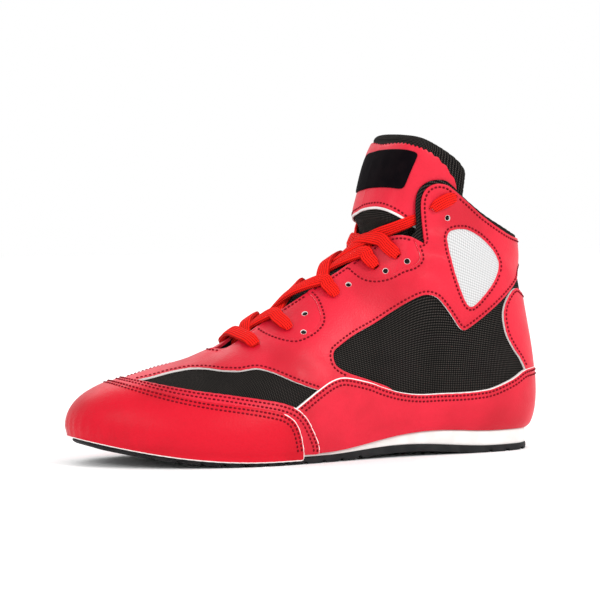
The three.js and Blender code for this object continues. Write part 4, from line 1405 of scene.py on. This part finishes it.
def ribbon(path, outs, widths, start, most=LACE_THICK):
    """A flat braid's points along a path. outs are the ways its face looks, most its greatest thickness.

    start, in mm, shifts the braid's pattern, so that no two runs look the same.
    """
    knots = np.concatenate([path, outs, np.array(widths)[:, None]], 1)
    steps = max(20, int(np.linalg.norm(np.diff(np.array(path), axis=0), axis=1).sum() / 1.0))
    line, run = smooth_path(knots, steps)
    centre, out, wide = line[:, :3], line[:, 3:6], line[:, 6]
    tangent = unit(np.gradient(centre, axis=0))
    across_lace = unit(np.cross(tangent, out))
    lift = unit(np.cross(across_lace, tangent))
    section = []
    for k in range(BRAID_SIDES):
        turn = 2 * math.pi * k / BRAID_SIDES
        c, s = math.cos(turn), math.sin(turn)
        section.append((math.copysign(abs(c) ** 0.6, c), math.copysign(abs(s) ** 0.75, s)))
    rings = []
    flats = []
    for c, s in section:
        thick = np.minimum(most, wide * 0.8)
        rings.append(centre + across_lace * (c * wide / 2)[:, None] + lift * (s * thick / 2)[:, None])
        flats.append(np.stack([run + start, c * wide / 2, s * thick / 2], 1))
    cloud, flat = np.stack(rings, 1), np.stack(flats, 1)
    return cloud.reshape(-1, 3), tube_faces(len(centre), BRAID_SIDES), flat.reshape(-1, 3)


LIP_REACH = [3, 5.5, 6.5, 6, 8]
THROAT_UP = np.array([0.54, 0, 0.84])
LACE_ARCH = [1.6, 1.4, 1.6, 2.2, 3.4]


def over_edge(level, side, reach, out):
    """A place near an eyelet, moved towards the throat by a reach, at a height above the wall."""
    x, z = side_place(side, *EYELETS[level])
    u, t = locate(x + reach * THROAT_UP[0], z + reach * THROAT_UP[2], side)
    u, t = np.array([u]), np.array([t])
    return layer(u, t, out, creased=False)[0], normal_at(u, t)[0]


def lace_end(level, side, steps):
    """Path, face ways and widths of a lace's end, from rows of reach, height and width."""
    places = [over_edge(level, side, reach, out) for reach, out, _ in steps]
    return [p for p, _ in places], [n for _, n in places], [w for _, _, w in steps]


def diving_end(level, side):
    """From inside an eyelet, up out of it and over the throat's edge."""
    lip = LIP_REACH[level]
    steps = [(0.3, -1.6, 2.6), (-0.7, 0.7, 3.6), (-1.2, 2.1, 5.0), (0.1 * lip - 0.4, 3.4, 7.0),
             (0.45 * lip, 3.9, LACE_WIDE), (lip, 3.7, LACE_WIDE)]
    return lace_end(level, side, steps)


def hidden_end(level, side):
    """From under the wall's edge, out into the throat."""
    lip = LIP_REACH[level]
    return lace_end(level, side, [(lip - 4.0, -3.6, 6.6), (lip + 0.5, -2.8, LACE_WIDE)])


def lace_bar(outer, inner, lift, start):
    """outer and inner are each a (kind of end, level) pair."""
    path_a, outs_a, wide_a = outer[0](outer[1], 1)
    path_b, outs_b, wide_b = inner[0](inner[1], -1)
    middle = (path_a[-1] + path_b[-1]) / 2 + THROAT_UP * lift
    path = path_a + [middle] + path_b[::-1]
    outs = outs_a + [THROAT_UP] + outs_b[::-1]
    widths = wide_a + [LACE_WIDE] + wide_b[::-1]
    return ribbon(path, outs, widths, start)


# The top run on each side crosses the tongue and slips under the tab: (s, v, height over the tongue)
TOP_RUNS = [
    [[-0.3, 0.535, 2.2], [-0.05, 0.56, 3], [0.13, 0.59, 5], [0.2, 0.625, 5], [0.305, 0.674, 3.2],
        [0.51, 0.717, 2], [0.685, 0.757, 1.6], [0.775, 0.782, 0.4], [0.82, 0.79, -0.4]],
    [[0.42, 0.6, 1], [0.3, 0.62, 2], [0.1, 0.636, 2.2], [-0.12, 0.65, 2.2], [-0.29, 0.66, 2],
        [-0.5, 0.705, 1.8], [-0.685, 0.757, 1.6], [-0.775, 0.782, 0.4], [-0.82, 0.79, -0.4]],
]
TAB_LACE = [[28.4, 76.9], [24.4, 79.8]]


def top_run(rows, start):
    s, v, out = np.array(rows).T
    widths = [LACE_WIDE - 1] * (len(s) - 2) + [LACE_WIDE - 2, LACE_WIDE - 3]
    return ribbon(tongue_skin(s, v, out), tongue_normal(s, v), widths, start, 2.0)


def tab_loop(side, start):
    """The lace's short way over the tab, out of one eyelet and into the next."""
    (u0, t0), (u1, t1) = eyelet_places(side, TAB_LACE)
    steps = [(0.0, -1.4, 2.6), (-0.05, 0.7, 3.6), (-0.07, 2.0, 5.0), (0.18, 3.2, 7.0), (0.5, 3.7, 7.6),
             (0.82, 3.2, 7.0), (1.07, 2.0, 5.0), (1.05, 0.7, 3.6), (1.0, -1.4, 2.6)]
    share, out, widths = np.array(steps).T
    u, t = u0 + (u1 - u0) * share, t0 + (t1 - t0) * share
    return ribbon(layer(u, t, out), normal_at(u, t), widths, start)


def make_laces():
    bars = [lace_bar((diving_end, 0), (diving_end, 0), LACE_ARCH[0] + 1.4, 0)]
    bars += [top_run(rows, 411 + 97 * k) for k, rows in enumerate(TOP_RUNS)]
    bars += [tab_loop(side, 613) for side in (1, -1)]
    for level in range(1, 5):
        high, low = LACE_ARCH[level] + 3.2, LACE_ARCH[level] + 0.4
        if level % 2:
            high, low = low, high
        bars.append(lace_bar((diving_end, level), (hidden_end, level - 1), high, 37.0 * level))
        bars.append(lace_bar((hidden_end, level - 1), (diving_end, level), low, 53.0 * level))
    points, faces, flats, count = [], [], [], 0
    for cloud, quads, flat in bars:
        points.append(cloud)
        flats.append(flat)
        faces.extend(tuple(i + count for i in quad) for quad in quads)
        count += len(cloud)
    return mesh_piece("lace_braid", np.concatenate(points), faces, red_lace,
                      [("flat", np.concatenate(flats))], nodes=["lacing"], sharp=70)


make_laces()


def make_piping():
    """The white cord along the seam over the tongue's red part."""
    s = np.linspace(-0.93, 0.93, 60)
    v = arc_at(s)
    skin = tongue_skin(s, v, 0.7)
    points, faces, flat = ribbon(skin, tongue_normal(s, v), [PIPING_WIDE] * len(s), 0, PIPING_WIDE)
    mesh_piece("tongue_piping", points, faces, piping_white, [("flat", flat)])


make_piping()


# Stage: floor, lights and camera
def make_floor():
    half = 3.0
    mesh = bpy.data.meshes.new("floor")
    corners = [(-half, -half, 0), (half, -half, 0), (half, half, 0), (-half, half, 0)]
    mesh.from_pydata(corners, [], [(0, 1, 2, 3)])
    p = Paint("pale_floor")
    mesh.materials.append(p.done((0.98, 0.98, 0.98), 0.9, None, 0.05))
    floor = bpy.data.objects.new("floor", mesh)
    bpy.context.scene.collection.objects.link(floor)


make_floor()

TARGET = Vector((0.118, 0, 0.085))
VIEW_WAY = Vector((0.4062, 0.9123, 0.0523))
DISTANCE = 1.6
PHOTO_WIDE = 600
PIXELS_PER_MM = 1.795
PHOTO_SHIFT = (-9, 3.1)
camera_data = bpy.data.cameras.new("camera")
camera = bpy.data.objects.new("camera", camera_data)
bpy.context.scene.collection.objects.link(camera)
camera.location = TARGET + VIEW_WAY * DISTANCE
camera.rotation_euler = (-VIEW_WAY).to_track_quat("-Z", "Y").to_euler()
camera_data.sensor_width = 36
camera_data.angle = 2 * math.atan(PHOTO_WIDE / 2 / PIXELS_PER_MM * MM / DISTANCE)
camera_data.shift_x = PHOTO_SHIFT[0] / PHOTO_WIDE
camera_data.shift_y = PHOTO_SHIFT[1] / PHOTO_WIDE
camera_data.clip_start = 0.05
bpy.context.scene.camera = camera


def area_light(name, place, aim, size, power):
    data = bpy.data.lights.new(name, "AREA")
    data.shape = "DISK"
    data.size = size
    data.energy = power
    light = bpy.data.objects.new(name, data)
    light.location = place
    light.rotation_euler = (Vector(aim) - Vector(place)).to_track_quat("-Z", "Y").to_euler()
    bpy.context.scene.collection.objects.link(light)


area_light("key", (-0.9, 1.9, 1.5), (0.06, 0, 0.08), 1.0, 30)
area_light("fill", (1.7, 1.1, 1.2), (0.16, 0, 0.06), 0.8, 9)
area_light("back", (0.2, -1.6, 1.5), (0.11, 0, 0.08), 1.2, 8)

world = bpy.data.worlds.new("studio")
bpy.context.scene.world = world
world.use_nodes = True
world.node_tree.nodes["Background"].inputs["Color"].default_value = (1, 1, 1, 1)
world.node_tree.nodes["Background"].inputs["Strength"].default_value = 1.0
bpy.context.scene.view_settings.view_transform = "Standard"
